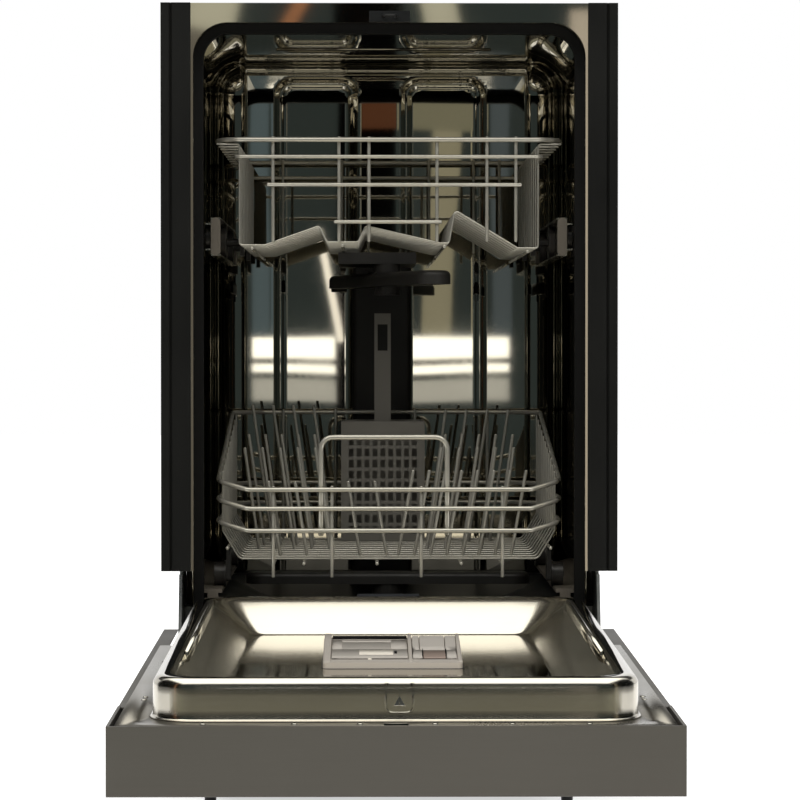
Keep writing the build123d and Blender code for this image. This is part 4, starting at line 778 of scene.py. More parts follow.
@dataclass
class Door:
    """The folded-down door: pressed liner, wheel runners, screws and the pocket in its rim."""

    sheet: float = 1.0
    flange_y: float = -2.0
    flange_half: float = 218.0
    flange_low: float = 115.0
    flange_high: float = 819.2
    notch_half: float = 194.8
    notch_top: float = 268.0
    rim_half: float = 190.5
    rim_low: float = 134.0
    rim_high: float = 797.0
    rim_corner: float = 34.0
    rim_y: float = 31.0
    rim_edge: float = 7.0
    rim_foot: float = 3.0
    mouth_half: float = 178.0
    mouth_low: float = 156.0
    mouth_high: float = 784.5
    mouth_corner: float = 30.0
    floor_half: float = 137.0
    floor_low: float = 185.0
    floor_high: float = 744.5
    floor_corner: float = 16.0
    floor_y: float = 7.0
    floor_fall: float = 9.0
    # How far the slope next to the tub is bowed, as a share of its run.
    bow: float = 0.25
    # Growth of the outline and drop below the rim where the recess starts.
    mouth_round: tuple[tuple[float, float], ...] = ((1.4, 0.0), (0.6, 0.12), (0.0, 0.5))
    # Shares of the way from mouth to floor at which the slopes are drawn.
    slope_shares: tuple[float, ...] = (0.04, 0.12, 0.2, 0.3, 0.4, 0.5, 0.6, 0.7, 0.8, 0.88, 0.94)
    # Shares of that way and lift above the floor where the slopes run out into it.
    floor_round: tuple[tuple[float, float], ...] = (
        (0.985, 0.25), (1.02, 0.1), (1.06, 0.0), (1.3, 0.0), (1.8, 0.0), (2.4, 0.0))
    # Steps of the mesh round each corner, along each side and through each bend of the rim.
    corner_steps: int = 10
    side_steps: int = 12
    foot_steps: int = 6
    wall_steps: int = 5
    edge_steps: int = 9
    slot_half: float = 9.5
    slot_low: float = 804.0
    slot_high: float = 818.0
    pocket_x: float = 2.6
    pocket_half: float = 10.5
    pocket_low: float = 5.0
    pocket_high: float = 28.0
    pocket_bend: float = 5.0
    pocket_gap: float = 1.5
    plate_rise: float = 0.15
    plate_deep: float = 0.4
    plate_short: float = 0.6
    plate_edge: float = 0.2
    wedge_half: float = 7.0
    wedge_inset: float = 5.0
    wedge_ridge: float = 6.0
    wedge_rise: float = 2.2
    crease_radius: float = 0.35
    hem_radius: float = 0.6
    fold_high: float = 819.5
    screws_across: tuple[float, ...] = (-150.0, -79.0, -28.0, 30.0, 90.0, 150.0)
    screws_along: tuple[float, ...] = (400.0, 646.0, 664.0)
    screw_share: float = 0.55
    screw_sides: int = 20
    # Radius and rise of the rings of a screw's domed head.
    screw_dome: tuple[tuple[float, float], ...] = (
        (2.6, 0.0), (2.55, 0.25), (2.2, 0.55), (1.4, 0.75), (0.5, 0.8))
    cross_y: float = 0.74
    cross_half: float = 1.4
    cross_thin: float = 0.3
    cross_rise: float = 0.1
    runner_outer: float = 174.0
    runner_wide: float = 4.5
    runner_rise: float = 5.0
    runner_deep: float = 10.5
    runner_ends: tuple[float, float] = (214.0, 640.0)
    press_line: tuple[tuple[float, float], ...] = ((74.0, 330.0), (74.0, 532.0), (82.0, 540.0))
    press_bend: float = 5.0
    press_radius: float = 0.7

    @property
    def fall(self) -> float:
        """Slope of the recess floor, which falls towards the tub."""
        return self.floor_fall / (self.floor_high - self.floor_low)

    def piece(self, name: str, shell: Shell, finish: Finish, slot: str = "liner_steel",
              **more: Any) -> None:
        """Makes a piece that is laid out on the closed door."""
        make_piece(name, shell, finish, "door", slot, place_door, **more)

    def rim_loop(self, grow: float, y: float) -> Loop:
        """The rim's outline grown or shrunk, at one depth."""
        return rect_loop(self.rim_half + grow, self.rim_low - grow, self.rim_high + grow,
                         self.rim_corner + grow, y, self.corner_steps, self.side_steps)

    def recess_loop(self, share: float, lift: float = 0.0, grow: float = 0.0) -> Loop:
        """The recess outline between its mouth and its floor.

        Args:
            share: 0 at the mouth, 1 at the floor.
            lift: How far it lies above the wall between them.
            grow: How far it is grown.

        Returns:
            The outline.
        """
        def between(a: float, b: float, part: float = share) -> float:
            """A size between the mouth's and the floor's."""
            return a + (b - a) * part

        bowed = share + self.bow * share * max(1 - share, 0.0)
        loop = rect_loop(between(self.mouth_half, self.floor_half) + grow,
                         between(self.mouth_low, self.floor_low, bowed) - grow,
                         between(self.mouth_high, self.floor_high) + grow,
                         between(self.mouth_corner, self.floor_corner) + grow, 0.0,
                         self.corner_steps, self.side_steps)
        for point in loop:
            floor = self.floor_y - self.fall * (self.floor_high - max(point.z, self.floor_low))
            point.y = self.rim_y + (floor - self.rim_y) * min(share, 1.0) + lift
        return loop

    def build_liner(self) -> None:
        """Makes the pressed liner, its rim and recess as one sheet, and the flange round it."""
        shell = Shell()
        foot, edge = self.rim_foot, self.rim_edge
        shoulder = self.rim_y - edge
        loops = [self.rim_loop(foot * (1 - math.sin(a)), self.flange_y + foot * (1 - math.cos(a)))
                 for a in spaced(0.0, QUARTER, self.foot_steps)]
        loops += [self.rim_loop(0.0, y)
                  for y in spaced(self.flange_y + foot, shoulder, self.wall_steps)[1:-1]]
        loops += [self.rim_loop(-edge * (1 - math.cos(a)), shoulder + edge * math.sin(a))
                  for a in spaced(0.0, QUARTER, self.edge_steps)]
        loops += [self.recess_loop(0.0, -drop, grow) for grow, drop in self.mouth_round]
        loops += [self.recess_loop(share) for share in self.slope_shares]
        loops += [self.recess_loop(share, lift) for share, lift in self.floor_round]
        shell.bridge(loops)
        shell.cap(loops[-1])
        self.piece("door_pressed_liner", shell, LINER_STEEL, thick=self.sheet, smooth=50,
                   stands_for=["door_liner"])
        self.build_flange(loops[0])

    def build_flange(self, hole: Loop) -> None:
        """Makes the liner's flat flange round the rim.

        Args:
            hole: The rim's foot, which the flange meets.
        """
        outer = [(self.flange_half, self.flange_high), (self.flange_half, self.notch_top),
                 (self.notch_half, self.notch_top), (self.notch_half, self.flange_low)]
        corners = [Vector((x, self.flange_y, z)) for x, z in outer]
        corners += mirrored(corners)
        slot = [Vector((x, self.flange_y, z)) for x, z in (
            (-self.slot_half, self.slot_low), (self.slot_half, self.slot_low),
            (self.slot_half, self.slot_high), (-self.slot_half, self.slot_high))]
        plate = corners + hole + slot
        flat = [[Vector((p.x, p.z, 0)) for p in ring] for ring in (corners, hole, slot)]
        faces = []
        for a, b, c in tessellate_polygon(flat):
            up = (plate[b] - plate[a]).cross(plate[c] - plate[a]).y > 0
            faces.append((a, b, c) if up else (a, c, b))
        sheet = Shell()
        sheet.add(plate, faces)
        self.piece("door_liner_flange", sheet, FLANGE_STEEL, thick=self.sheet, smooth=50)

    def build_pocket(self) -> None:
        """Makes the pressed pocket with its wedge in the rim's front wall."""
        x, half, wall = self.pocket_x, self.pocket_half, self.rim_high
        low, high, gap = self.pocket_low, self.pocket_high, self.pocket_gap
        # The inner tube is painted shade: a thin near-black line just inside the lip, standing for
        # the shadow in the insert's seam.
        for name, finish, inset, out, radius in (("rim_pocket_lip", RAIL_STEEL, 0.0, 0.3, 1.2),
                                                 ("rim_pocket_gap_shade", SHADE_PP, gap, 0.1, 0.55)):
            side, foot = half - inset, low + inset
            corners = [(-side, high), (-side, foot), (side, foot), (side, high)]
            line = Shell()
            line.tube(bent([(x + dx, y, wall + out) for dx, y in corners], self.pocket_bend),
                      radius)
            self.piece(name, line, finish)
        plate, wedge, outline = Shell(), Shell(), Shell()
        base = wall + self.plate_rise
        plate.box((x - half + gap, low + gap, wall - self.plate_deep),
                  (x + half - gap, high - self.plate_short, base))
        self.piece("rim_pocket_plate", plate, FLANGE_STEEL, bevel=self.plate_edge)
        foot = low + self.wedge_inset
        tips = [Vector(p) for p in ((x, high - self.wedge_inset, base),
                                    (x - self.wedge_half, foot, base),
                                    (x + self.wedge_half, foot, base))]
        ridge = Vector((x, low + self.wedge_ridge, base + self.wedge_rise))
        wedge.add(tips + [ridge], [(0, 1, 3), (1, 2, 3), (2, 0, 3), (0, 2, 1)])
        for tip in tips:
            outline.tube([tip, ridge], self.crease_radius)
        outline.tube(tips, self.hem_radius, closed=True)
        self.piece("rim_pocket_wedge", wedge, ZINC_STEEL, bevel=self.plate_edge)
        self.piece("rim_pocket_edges", outline, RAIL_STEEL)

    def build_screws(self) -> None:
        """Makes the pan-head screws along the flange."""
        top = (self.rim_high + self.fold_high) / 2
        side = self.rim_half + (self.flange_half - self.rim_half) * self.screw_share
        spots = [(x, top) for x in self.screws_across]
        spots += [(sign * side, z) for sign in (-1, 1) for z in self.screws_along]
        angles = [FULL_TURN * k / self.screw_sides for k in reversed(range(self.screw_sides))]
        half, thin = self.cross_half, self.cross_thin
        heads, slot_shade = Shell(), Shell()
        for x, z in spots:
            rings = [[Vector((x + radius * math.cos(a), self.flange_y + rise,
                              z + radius * math.sin(a))) for a in angles]
                     for radius, rise in self.screw_dome]
            heads.bridge(rings)
            heads.cap(rings[-1])
            # Each head's cross recess is painted shade: two near-black bars.
            y = self.flange_y + self.cross_y
            for dx, dz in ((half, thin), (thin, half)):
                slot_shade.box((x - dx, y - thin, z - dz), (x + dx, y + self.cross_rise, z + dz))
        self.piece("flange_screw_heads", heads, SCREW_STEEL, "screw_steel",
                   stands_for=["door_screws"])
        self.piece("flange_screw_recess_shade", slot_shade, SHADE_PP, "screw_steel")

    def build_runners(self) -> None:
        """Makes the domed runners that the lower wheels cross the door on."""
        runners = Shell()
        top = self.rim_y + self.runner_rise
        outer, inner = self.runner_outer, self.runner_outer - self.runner_wide
        for x0, x1 in ((-outer, -inner), (inner, outer)):
            runners.bar(x0, x1, [(z, top) for z in self.runner_ends], top - self.runner_deep,
                        edge=self.runner_wide)
        self.piece("door_wheel_runners", runners, RAIL_STEEL, "rail_steel", smooth=60,
                   stands_for=["door_rails"])

    def build_pressings(self) -> None:
        """Makes the pressed lines in the recess floor beside the dispenser."""
        lines = Shell()
        for sign in (-1, 1):
            line = [(sign * x, self.floor_y - self.fall * (self.floor_high - z), z)
                    for x, z in self.press_line]
            lines.tube(bent(line, self.press_bend), self.press_radius)
        self.piece("recess_pressed_lines", lines, LINER_STEEL)

    def build(self) -> None:
        """Makes all the door's own pieces."""
        self.build_liner()
        self.build_runners()
        self.build_pressings()
        self.build_pocket()
        self.build_screws()


@dataclass
class Dispenser:
    """Detergent and rinse-aid lids on the sloped dispenser of the door liner."""

    slope: float = math.radians(5.5)
    axis_y: float = 16.5
    axis_z: float = 408.5
    top: float = 18.7
    thick: float = 4.4
    high: float = 491.6
    gap: float = 0.5
    gap_deep: float = 1.0
    frame_half: float = 61.0
    frame_low: float = 397.0
    frame_high: float = 505.0
    cheek_inset: float = 0.6
    cheek_deep: float = 3.0
    seal_beside: float = 0.8
    seal_beyond: float = 1.8
    seal_corner: float = 6.0
    seal_radius: float = 1.3
    floor_y: float = 3.2
    floor_slope: float = Door().fall
    detergent: tuple[float, float] = (-53.6, 13.6)
    rinse: tuple[float, float] = (17.9, 56.6)
    # Left, right, low and high edges of the fields on the lids.
    well: tuple[float, float, float, float] = (-44.5, -1.0, 416.0, 449.0)
    plate: tuple[float, float, float, float] = (-29.4, 0.7, 455.0, 481.0)
    lip: tuple[float, float, float, float] = (27.3, 46.8, 462.0, 491.0)
    well_deep: float = 0.4
    well_edge: float = 0.3
    foot_deep: float = 1.0
    plate_deep: float = 2.2
    catch_half: float = 1.6
    catch_foot: float = 0.4
    stop_sides: tuple[float, float] = (0.8, 3.6)
    stop_short: float = 6.0
    stop_deep: float = 2.0
    left_strip: float = 6.0
    right_strip: float = 10.0
    lip_foot: float = 0.6

    def sloped(self, point: Vector) -> Vector:
        """A point of the level layout, sloped about the lids' hinge line on the open door.

        Args:
            point: A point in the level layout, in local millimetres.

        Returns:
            The point on the open door, in metres in the row frame.
        """
        return place_door(swung(point, self.axis_y, self.axis_z, self.slope))

    def raised(self, *spots: tuple[float, float]) -> Profile:
        """A bar's profile from places along it and rises above the lids' top."""
        return [(z, self.top + rise) for z, rise in spots]

    def piece(self, name: str, shell: Shell, finish: Finish, lid: str, **more: Any) -> None:
        """Makes a piece of a lid that is laid out level."""
        make_piece(name, shell, finish, lid, "lid_grey", self.sloped, smooth=35, **more)

    def build_frame(self) -> None:
        """Makes the raised cheeks, painted shade in the gaps at the lids' ends and the seal and
        shade line in the liner.
        """
        cheeks, gap_shade, seal = Shell(), Shell(), Shell()
        low, high, gap = self.frame_low, self.frame_high, self.gap
        half = self.frame_half - self.cheek_inset
        (d0, d1), (r0, r1) = self.detergent, self.rinse
        rise = self.raised((low, 0.2), (low + 4, 4.2), (430.0, 3.8), (455.0, 2.2),
                           (high - 6, 0.9), (high, 0.2))
        for x0, x1 in ((-half, d0 - gap), (d1 + gap, r0 - gap), (r1 + gap, half)):
            cheeks.bar(x0, x1, rise, self.top - self.cheek_deep)
        make_piece("dispenser_cheeks", cheeks, DISPENSER_PP, "door", "dispenser_grey",
                   self.sloped, smooth=50)
        # Near-black bars at the lids' near ends and behind the detergent lid are painted shade in
        # the gaps there.
        near = self.raised((self.high - 0.4, 0.75), (self.high + 0.9, 0.6))
        far = self.raised((low + 1, 1.6), (self.axis_z - 3, 1.6))
        for x0, x1, shade in ((d0, d1, near), (r0, r1, near), (d0, d1, far)):
            gap_shade.bar(x0, x1, shade, self.top - self.gap_deep)
        make_piece("dispenser_gap_shade", gap_shade, SHADE_PP, "door", "dispenser_grey",
                   self.sloped, smooth=50)
        # The dark rubber ring round the dispenser is partly its seal and partly painted shade, a
        # dark line at the liner's floor.
        outline = rect_loop(self.frame_half + self.seal_beside, low - self.seal_beyond,
                            high + self.seal_beyond, self.seal_corner, 0.0)
        for point in outline:
            point.y = self.floor_y + self.floor_slope * (point.z - high)
        seal.tube(outline, self.seal_radius, closed=True)
        make_piece("dispenser_seal_and_shade", seal, SEAL_RUBBER, "door", "dispenser_grey", place_door)

    def build_detergent(self) -> None:
        """Makes the detergent lid with its sunk field, bare plate, catch and stop."""
        flap, plate, stop = Shell(), Shell(), Shell()
        under = self.top - self.thick
        sunk = self.top - self.well_deep
        x0, x1 = self.detergent
        wx0, wx1, wz0, wz1 = self.well
        flap.bar(x0, x1, [(self.axis_z, sunk), (wz1, sunk), (self.high, self.top + 1.0)], under)
        for left, right, end in ((x0, wx0, wz1), (wx1, x1, wz1), (x0, x1, wz0)):
            flap.bar(left, right, self.raised((self.axis_z, 0.0), (end, 0.0)),
                     sunk - self.foot_deep, edge=self.well_edge)
        flap.bar(x0, x1, self.raised((wz1, 0.0), (self.high - 3, 2.4), (self.high, 1.9)),
                 sunk - self.foot_deep)
        self.piece("detergent_flap", flap, LID_PP, "detergent_lid", stands_for=["detergent_lid"])
        px0, px1, pz0, pz1 = self.plate
        plate.bar(px0, px1, self.raised((pz0, 0.8), (pz1, 2.4)), self.top - self.plate_deep)
        middle = (x0 + x1) / 2
        plate.bar(middle - self.catch_half, middle + self.catch_half,
                  self.raised((self.high - 1, 1.3), (self.high + 1.8, 1.0)),
                  under + self.catch_foot)
        self.piece("detergent_flap_bare_plate", plate, TAB_PP, "detergent_lid")
        left, right = self.stop_sides
        stop.bar(px1 + left, px1 + right,
                 self.raised((pz0 + self.stop_short, 1.1), (pz1 - self.stop_short, 1.9)),
                 self.top - self.stop_deep)
        self.piece("detergent_flap_stop", stop, SHADE_PP, "detergent_lid")

    def build_rinse(self) -> None:
        """Makes the rinse-aid lid: three strips that rise to its hinge, and a lip in the middle."""
        cover, lip, slot_shade = Shell(), Shell(), Shell()
        under = self.top - self.thick
        foot = under + self.foot_deep
        x0, x1 = self.rinse
        lx0, lx1, lz0, lz1 = self.lip
        crown = self.raised((self.axis_z + 2, 0.2), (413.5, 4.6), (417.0, 5.4), (428.0, 4.8),
                            (448.0, 3.0), (lz0 - 1, 2.0))
        fall = self.raised((lz0 - 1, 2.0), (self.high, 1.6))
        cover.bar(x0, x1, self.raised((self.axis_z - 2, -0.6), (self.high, -2.4)), under)
        left, right = x0 + self.left_strip, x1 - self.right_strip
        for a, b in ((x0, left), (left + self.gap, right), (right + self.gap, x1)):
            cover.bar(a, b, crown, foot)
        for a, b in ((x0, lx0 - 2 * self.gap), (lx1 + 2 * self.gap, x1)):
            cover.bar(a, b, fall, foot)
        self.piece("rinse_flap", cover, LID_PP, "rinse_aid_lid", stands_for=["rinse_aid_lid"])
        lip.bar(lx0, lx1, self.raised((lz0, 1.9), (lz1 - 4, 1.5), (lz1, 0.9)),
                under + self.lip_foot)
        self.piece("rinse_flap_lip", lip, LIP_PP, "rinse_aid_lid")
        # The slots beside the lip are painted shade: near-black bars.
        for x in (lx0 - self.gap, lx1 + self.gap):
            slot_shade.bar(x - self.gap, x + self.gap,
                      self.raised((lz0 - 5, 2.4), (lz0 + 9, 1.9)), foot)
        self.piece("rinse_flap_slot_shade", slot_shade, SHADE_PP, "rinse_aid_lid")

    def build(self) -> None:
        """Makes the whole dispenser front."""
        self.build_frame()
        self.build_detergent()
        self.build_rinse()


@dataclass
class Rack:
    """What both wire racks share: their depth, the gauges of their wires and their welds."""

    body: str
    front: float
    back: float
    rim_r: float = 2.5
    upright_r: float = 1.75
    wire_r: float = 1.5
    # Room left between the coats of wires that are welded together.
    weld: float = 0.05

    def piece(self, name: str, wires: Shell, node: str) -> None:
        """Makes a piece of coated wire that stands for one CAD node."""
        make_piece(name, wires, WIRE_NYLON, self.body, "rack_coat", smooth=80, stands_for=[node])


@dataclass
class UpperRack(Rack):
    """The upper wire rack: two rims, uprights, bars across the front and a waved floor."""

    body: str = "upper_rack"
    front: float = 60.0
    back: float = 455.0
    rim_z: float = 695.0
    rim_half: float = 172.0
    rim_bend: float = 28.0
    second_z: float = 678.0
    second_half: float = 153.0
    second_bend: float = 6.0
    second_r: float = 2.0
    foot_z: float = 594.0
    uprights: tuple[float, ...] = (-116.0, -50.0, -20.0, 48.0, 98.0, 127.0)
    # Left end, right end and height of each bar across the front.
    bars: tuple[tuple[float, float, float], ...] = ((-121.0, 132.0, 650.0), (-54.0, 52.0, 613.0))
    waves: int = 10
    wave_bend: float = 3.0
    wave_sides: int = 10
    shown_r: float = 1.0
    # The wave of a floor wire between its upright ends.
    wave: tuple[tuple[float, float], ...] = (
        (-124.0, 590.0), (-70.0, 609.0), (-62.0, 593.0), (-31.0, 593.0), (-23.0, 609.0),
        (51.0, 592.0), (60.0, 592.0), (66.0, 625.0), (129.0, 587.0))
    # Places across the width where long wires run under the wave, and its height there.
    long_wires: tuple[tuple[float, float], ...] = (
        (-137.0, 590.0), (-46.5, 593.0), (55.5, 592.0), (139.0, 587.0))

    def build_frame(self, step: float) -> None:
        """Makes the rims, the uprights and the bars across the front.

        Args:
            step: How far the uprights stand inside the rim's middle.
        """
        wires = Shell()
        drop = self.rim_r - self.second_r
        for half, inset, z, bend, radius in (
                (self.rim_half, 0.0, self.rim_z, self.rim_bend, self.rim_r),
                (self.second_half, drop, self.second_z, self.second_bend, self.second_r)):
            y0, y1 = self.front + inset, self.back - inset
            rim = [(-half, y0, z), (half, y0, z), (half, y1, z), (-half, y1, z)]
            wires.tube(bent(rim, bend, True), radius, closed=True)
        for y in (self.front + step, self.back - step):
            for x in self.uprights:
                wires.rod((x, y, self.foot_z), (x, y, self.rim_z + self.rim_r), self.upright_r)
        y = self.front + drop
        for x0, x1, z in self.bars:
            wires.rod((x0, y, z), (x1, y, z), self.second_r)
        self.piece("upper_rack_rim_wires", wires, "upper_rack_frame")

    def build_floor(self, first: float) -> None:
        """Makes the waved floor wires and the long wires under them.

        Args:
            first: How far the first and last floor wire lie inside the rim's middle.
        """
        wires = Shell()
        side = self.second_half - self.second_r - self.wire_r - self.weld
        hook = self.rim_z - self.rim_r - self.wire_r - self.weld
        left_z, right_z = self.wave[0][1], self.wave[-1][1]
        wave = [(-self.rim_half, hook), (-side, hook), (-side, left_z), *self.wave,
                (side, right_z), (side, hook), (self.rim_half, hook)]
        depths = spaced(self.front + first, self.back - first, self.waves)
        for y in depths:
            wires.tube(bent([(x, y, z) for x, z in wave], self.wave_bend), self.shown_r,
                       self.wave_sides)
        for x, z in self.long_wires:
            z -= self.wire_r + self.upright_r + self.weld
            wires.rod((x, depths[0], z), (x, depths[-1], z), self.upright_r)
        self.piece("upper_rack_waved_wires", wires, "upper_rack_floor")

    def build(self) -> None:
        """Makes the whole rack."""
        step = self.rim_r + self.upright_r + self.weld
        self.build_frame(step)
        self.build_floor(step + self.upright_r + self.wire_r + self.weld)


@dataclass(frozen=True)
class TineRow:
    """A row of plate tines: its cross wire, its ends, their number, height and lean in degrees."""

    wire: int
    first: float
    last: float
    count: int
    top: float
    lean: float


@dataclass
class LowerRack(Rack):
    """The lower wire rack with its handle loop and tines."""

    body: str = "lower_rack"
    front: float = 45.0
    back: float = 440.0
    half: float = 171.0
    flat_half: float = 141.0
    corner: float = 32.0
    corner_rise: float = 9.0
    rim_bend: float = 9.0
    # A rim's corner point: how far it lies inside the side, behind the front and below the side.
    corner_point: tuple[float, float, float] = (4.0, 13.0, 2.0)
    front_wires: tuple[float, float, float] = (346.0, 327.0, 305.0)
    back_z: float = 415.0
    floor_z: float = 275.0
    floor_half: float = 150.0
    floor_bend: float = 7.0
    chamfer: float = 28.0
    cross: int = 11
    cross_inset: float = 3.0
    shown_r: float = 1.1
    handle_r: float = 2.7
    handle_x: tuple[float, float] = (-68.0, 58.0)
    handle_top: float = 398.0
    handle_bend: float = 12.0
    handle_foot: float = 4.0
    upright_foot: float = 16.0
    uprights: tuple[float, ...] = (-115.5, -57.0, 32.0, 113.0)
    long_wires: tuple[float, ...] = (-115.5, -85.0, -57.0, -12.0, 32.0, 72.0, 113.0)
    tine_r: float = 1.7
    tine_gap: float = 0.3
    tine_short: float = 1.0
    tine_rows: tuple[TineRow, ...] = (
        TineRow(1, 25.0, 140.0, 8, 363.0, 10.0), TineRow(4, 56.0, 132.0, 5, 383.0, 8.0),
        TineRow(6, 62.0, 134.0, 5, 395.0, 8.0), TineRow(4, -150.0, -76.0, 5, 383.0, -8.0),
        TineRow(6, -148.0, -78.0, 5, 395.0, -8.0), TineRow(8, -146.0, -80.0, 4, 425.0, -8.0),
        TineRow(1, -122.0, -14.0, 5, 352.0, -9.0), TineRow(8, 64.0, 132.0, 4, 420.0, 8.0))

    def rim(self, front_z: float, back_z: float) -> Loop:
        """One rim wire's path.

        Args:
            front_z: Height of its front run.
            back_z: Height at the back.

        Returns:
            The closed path.
        """
        side = front_z + self.corner_rise
        inside, behind, below = self.corner_point
        right = [(self.flat_half, self.front, front_z),
                 (self.half - inside, self.front + behind, side - below),
                 (self.half, self.front + self.corner, side),
                 (self.half, self.back - self.corner, back_z),
                 (self.half - self.corner, self.back, back_z)]
        return bent(right + [(-x, y, z) for x, y, z in reversed(right)], self.rim_bend, True)

    def side_z(self, y: float) -> float:
        """Height of the sloping top rim at a depth."""
        low = self.front_wires[0] + self.corner_rise
        return low + (self.back_z - low) * (y - self.front) / (self.back - self.front)

    def depths(self) -> list[float]:
        """Depths of the cross wires."""
        inset = self.corner + self.cross_inset
        return spaced(self.front + inset, self.back - inset, self.cross)

    def build_frame(self) -> None:
        """Makes the rims, uprights and handle loop."""
        wires = Shell()
        top, middle, low = self.front_wires
        for front_z, back_z in ((top, self.back_z), (middle, middle + self.corner_rise),
                                (low, low + self.corner_rise)):
            wires.tube(self.rim(front_z, back_z), self.rim_r, closed=True)
        step = self.rim_r + self.upright_r + self.weld
        foot = self.floor_z - self.upright_foot
        for x in self.uprights:
            for y, high in ((self.front + step, top), (self.back - step, self.back_z)):
                wires.rod((x, y, foot), (x, y, high + self.rim_r), self.upright_r)
        y = self.front + self.rim_r + self.handle_r + self.weld
        (x0, x1), foot = self.handle_x, low - self.handle_foot
        handle = [(x0, y, foot), (x0, y, self.handle_top), (x1, y, self.handle_top), (x1, y, foot)]
        wires.tube(bent(handle, self.handle_bend), self.handle_r)
        self.piece("lower_rack_rim_wires", wires, "lower_rack_frame")

    def build_floor(self) -> None:
        """Makes the cross wires and the long wires under them."""
        wires = Shell()
        outer = self.half - self.rim_r - self.wire_r - self.weld
        turn = self.floor_z + self.chamfer
        for y in self.depths():
            top = self.side_z(y) + self.rim_r
            cross = [(-outer, y, top), (-outer, y, turn), (-self.floor_half, y, self.floor_z),
                     (self.floor_half, y, self.floor_z), (outer, y, turn), (outer, y, top)]
            wires.tube(bent(cross, self.floor_bend), self.shown_r)
        out = self.wire_r + self.upright_r + self.weld
        lean = outer - self.floor_half
        length = math.hypot(lean, self.chamfer)
        x = (outer + self.floor_half) / 2 + out * self.chamfer / length
        z = self.floor_z + self.chamfer / 2 - out * lean / length
        under = self.floor_z - self.wire_r - self.upright_r - self.weld
        spots = [(x_long, under) for x_long in self.long_wires] + [(-x, z), (x, z)]
        step = self.rim_r + 2 * self.upright_r + 2 * self.weld
        for x, z in spots:
            wires.rod((x, self.front + step, z), (x, self.back - step, z), self.upright_r)
        self.piece("lower_rack_floor_wires", wires, "lower_rack_floor")

    def build_tines(self) -> None:
        """Makes the leaning plate tines."""
        tines = Shell()
        depths = self.depths()
        foot = self.floor_z + self.wire_r + self.tine_gap
        for row in self.tine_rows:
            y = depths[row.wire]
            shift = math.tan(math.radians(row.lean)) * (row.top - foot)
            for x in spaced(row.first, row.last, row.count):
                tines.rod((x - shift, y, foot), (x, y, row.top - self.tine_short), self.tine_r)
        self.piece("lower_rack_plate_tines", tines, "lower_rack_tines")

    def build(self) -> None:
        """Makes the whole rack."""
        self.build_frame()
        self.build_floor()
        self.build_tines()


def emptied(owner: bpy.types.Material | bpy.types.World) -> bpy.types.NodeTree:
    """The node tree of a material or surround, with nothing in it.

    Args:
        owner: The material or surround.

    Returns:
        Its empty node tree.
    """
    owner.use_nodes = True
    owner.node_tree.nodes.clear()
    return owner.node_tree


def shown_rays(tree: bpy.types.NodeTree) -> bpy.types.NodeSocket:
    """Tells the rays that show a thing from those that only carry its light.

    Args:
        tree: The node tree.

    Returns:
        A socket that is 1 for straight, mirrored and refracted sight and 0 for the rest.
    """
    path = add_node(tree, "ShaderNodeLightPath")
    shown = path.outputs["Is Camera Ray"]
    for ray in ("Is Glossy Ray", "Is Transmission Ray"):
        shown = add_node(tree, "ShaderNodeMath", {"operation": "MAXIMUM"}, {
            0: shown, 1: path.outputs[ray]}).outputs["Value"]
    return shown


def flat_sheet(name: str, corners: Sequence[Sequence[float]],
               material: bpy.types.Material) -> bpy.types.Object:
    """Adds a flat sheet of the studio.

    Args:
        name: Its name.
        corners: Its four corners in metres.
        material: What it is made of.

    Returns:
        The new object.
    """
    mesh = bpy.data.meshes.new(name)
    mesh.from_pydata(corners, [], [(0, 1, 2, 3)])
    mesh.materials.append(material)
    return add_object(name, mesh)


@dataclass(frozen=True)
class Card:
    """A card that only mirrors see, as a photographer's flag or strip box.

    Its middle and its width and height are in local millimetres. A strength of 1 is white. Its
    turn is about the vertical, its tilt about its own width and its lean about its face, all in
    degrees.
    """

    name: str
    centre: tuple[float, float, float]
    size: tuple[float, float]
    colour: str
    strength: float = 1.0
    turn: float = 0.0
    tilt: float = 0.0
    lean: float = 0.0

    def stand(self) -> None:
        """Stands the card in front of the machine."""
        made = bpy.data.materials.new(self.name)
        tree = emptied(made)
        glow = add_node(tree, "ShaderNodeEmission", inputs={
            "Color": linear(self.colour), "Strength": self.strength})
        add_node(tree, "ShaderNodeOutputMaterial", inputs={"Surface": glow.outputs["Emission"]})
        w, h = self.size[0] * MM / 2, self.size[1] * MM / 2
        stood = flat_sheet(self.name, [(-w, 0, -h), (w, 0, -h), (w, 0, h), (-w, 0, h)], made)
        turned = Matrix.Identity(4)
        for angle, axis in ((self.turn, "Z"), (self.tilt, "X"), (self.lean, "Y")):
            turned = turned @ Matrix.Rotation(math.radians(angle), 4, axis)
        stood.matrix_world = Matrix.Translation(place(Vector(self.centre))) @ turned
        for ray in ("camera", "diffuse", "transmission", "volume_scatter", "shadow"):
            setattr(stood, "visible_" + ray, False)


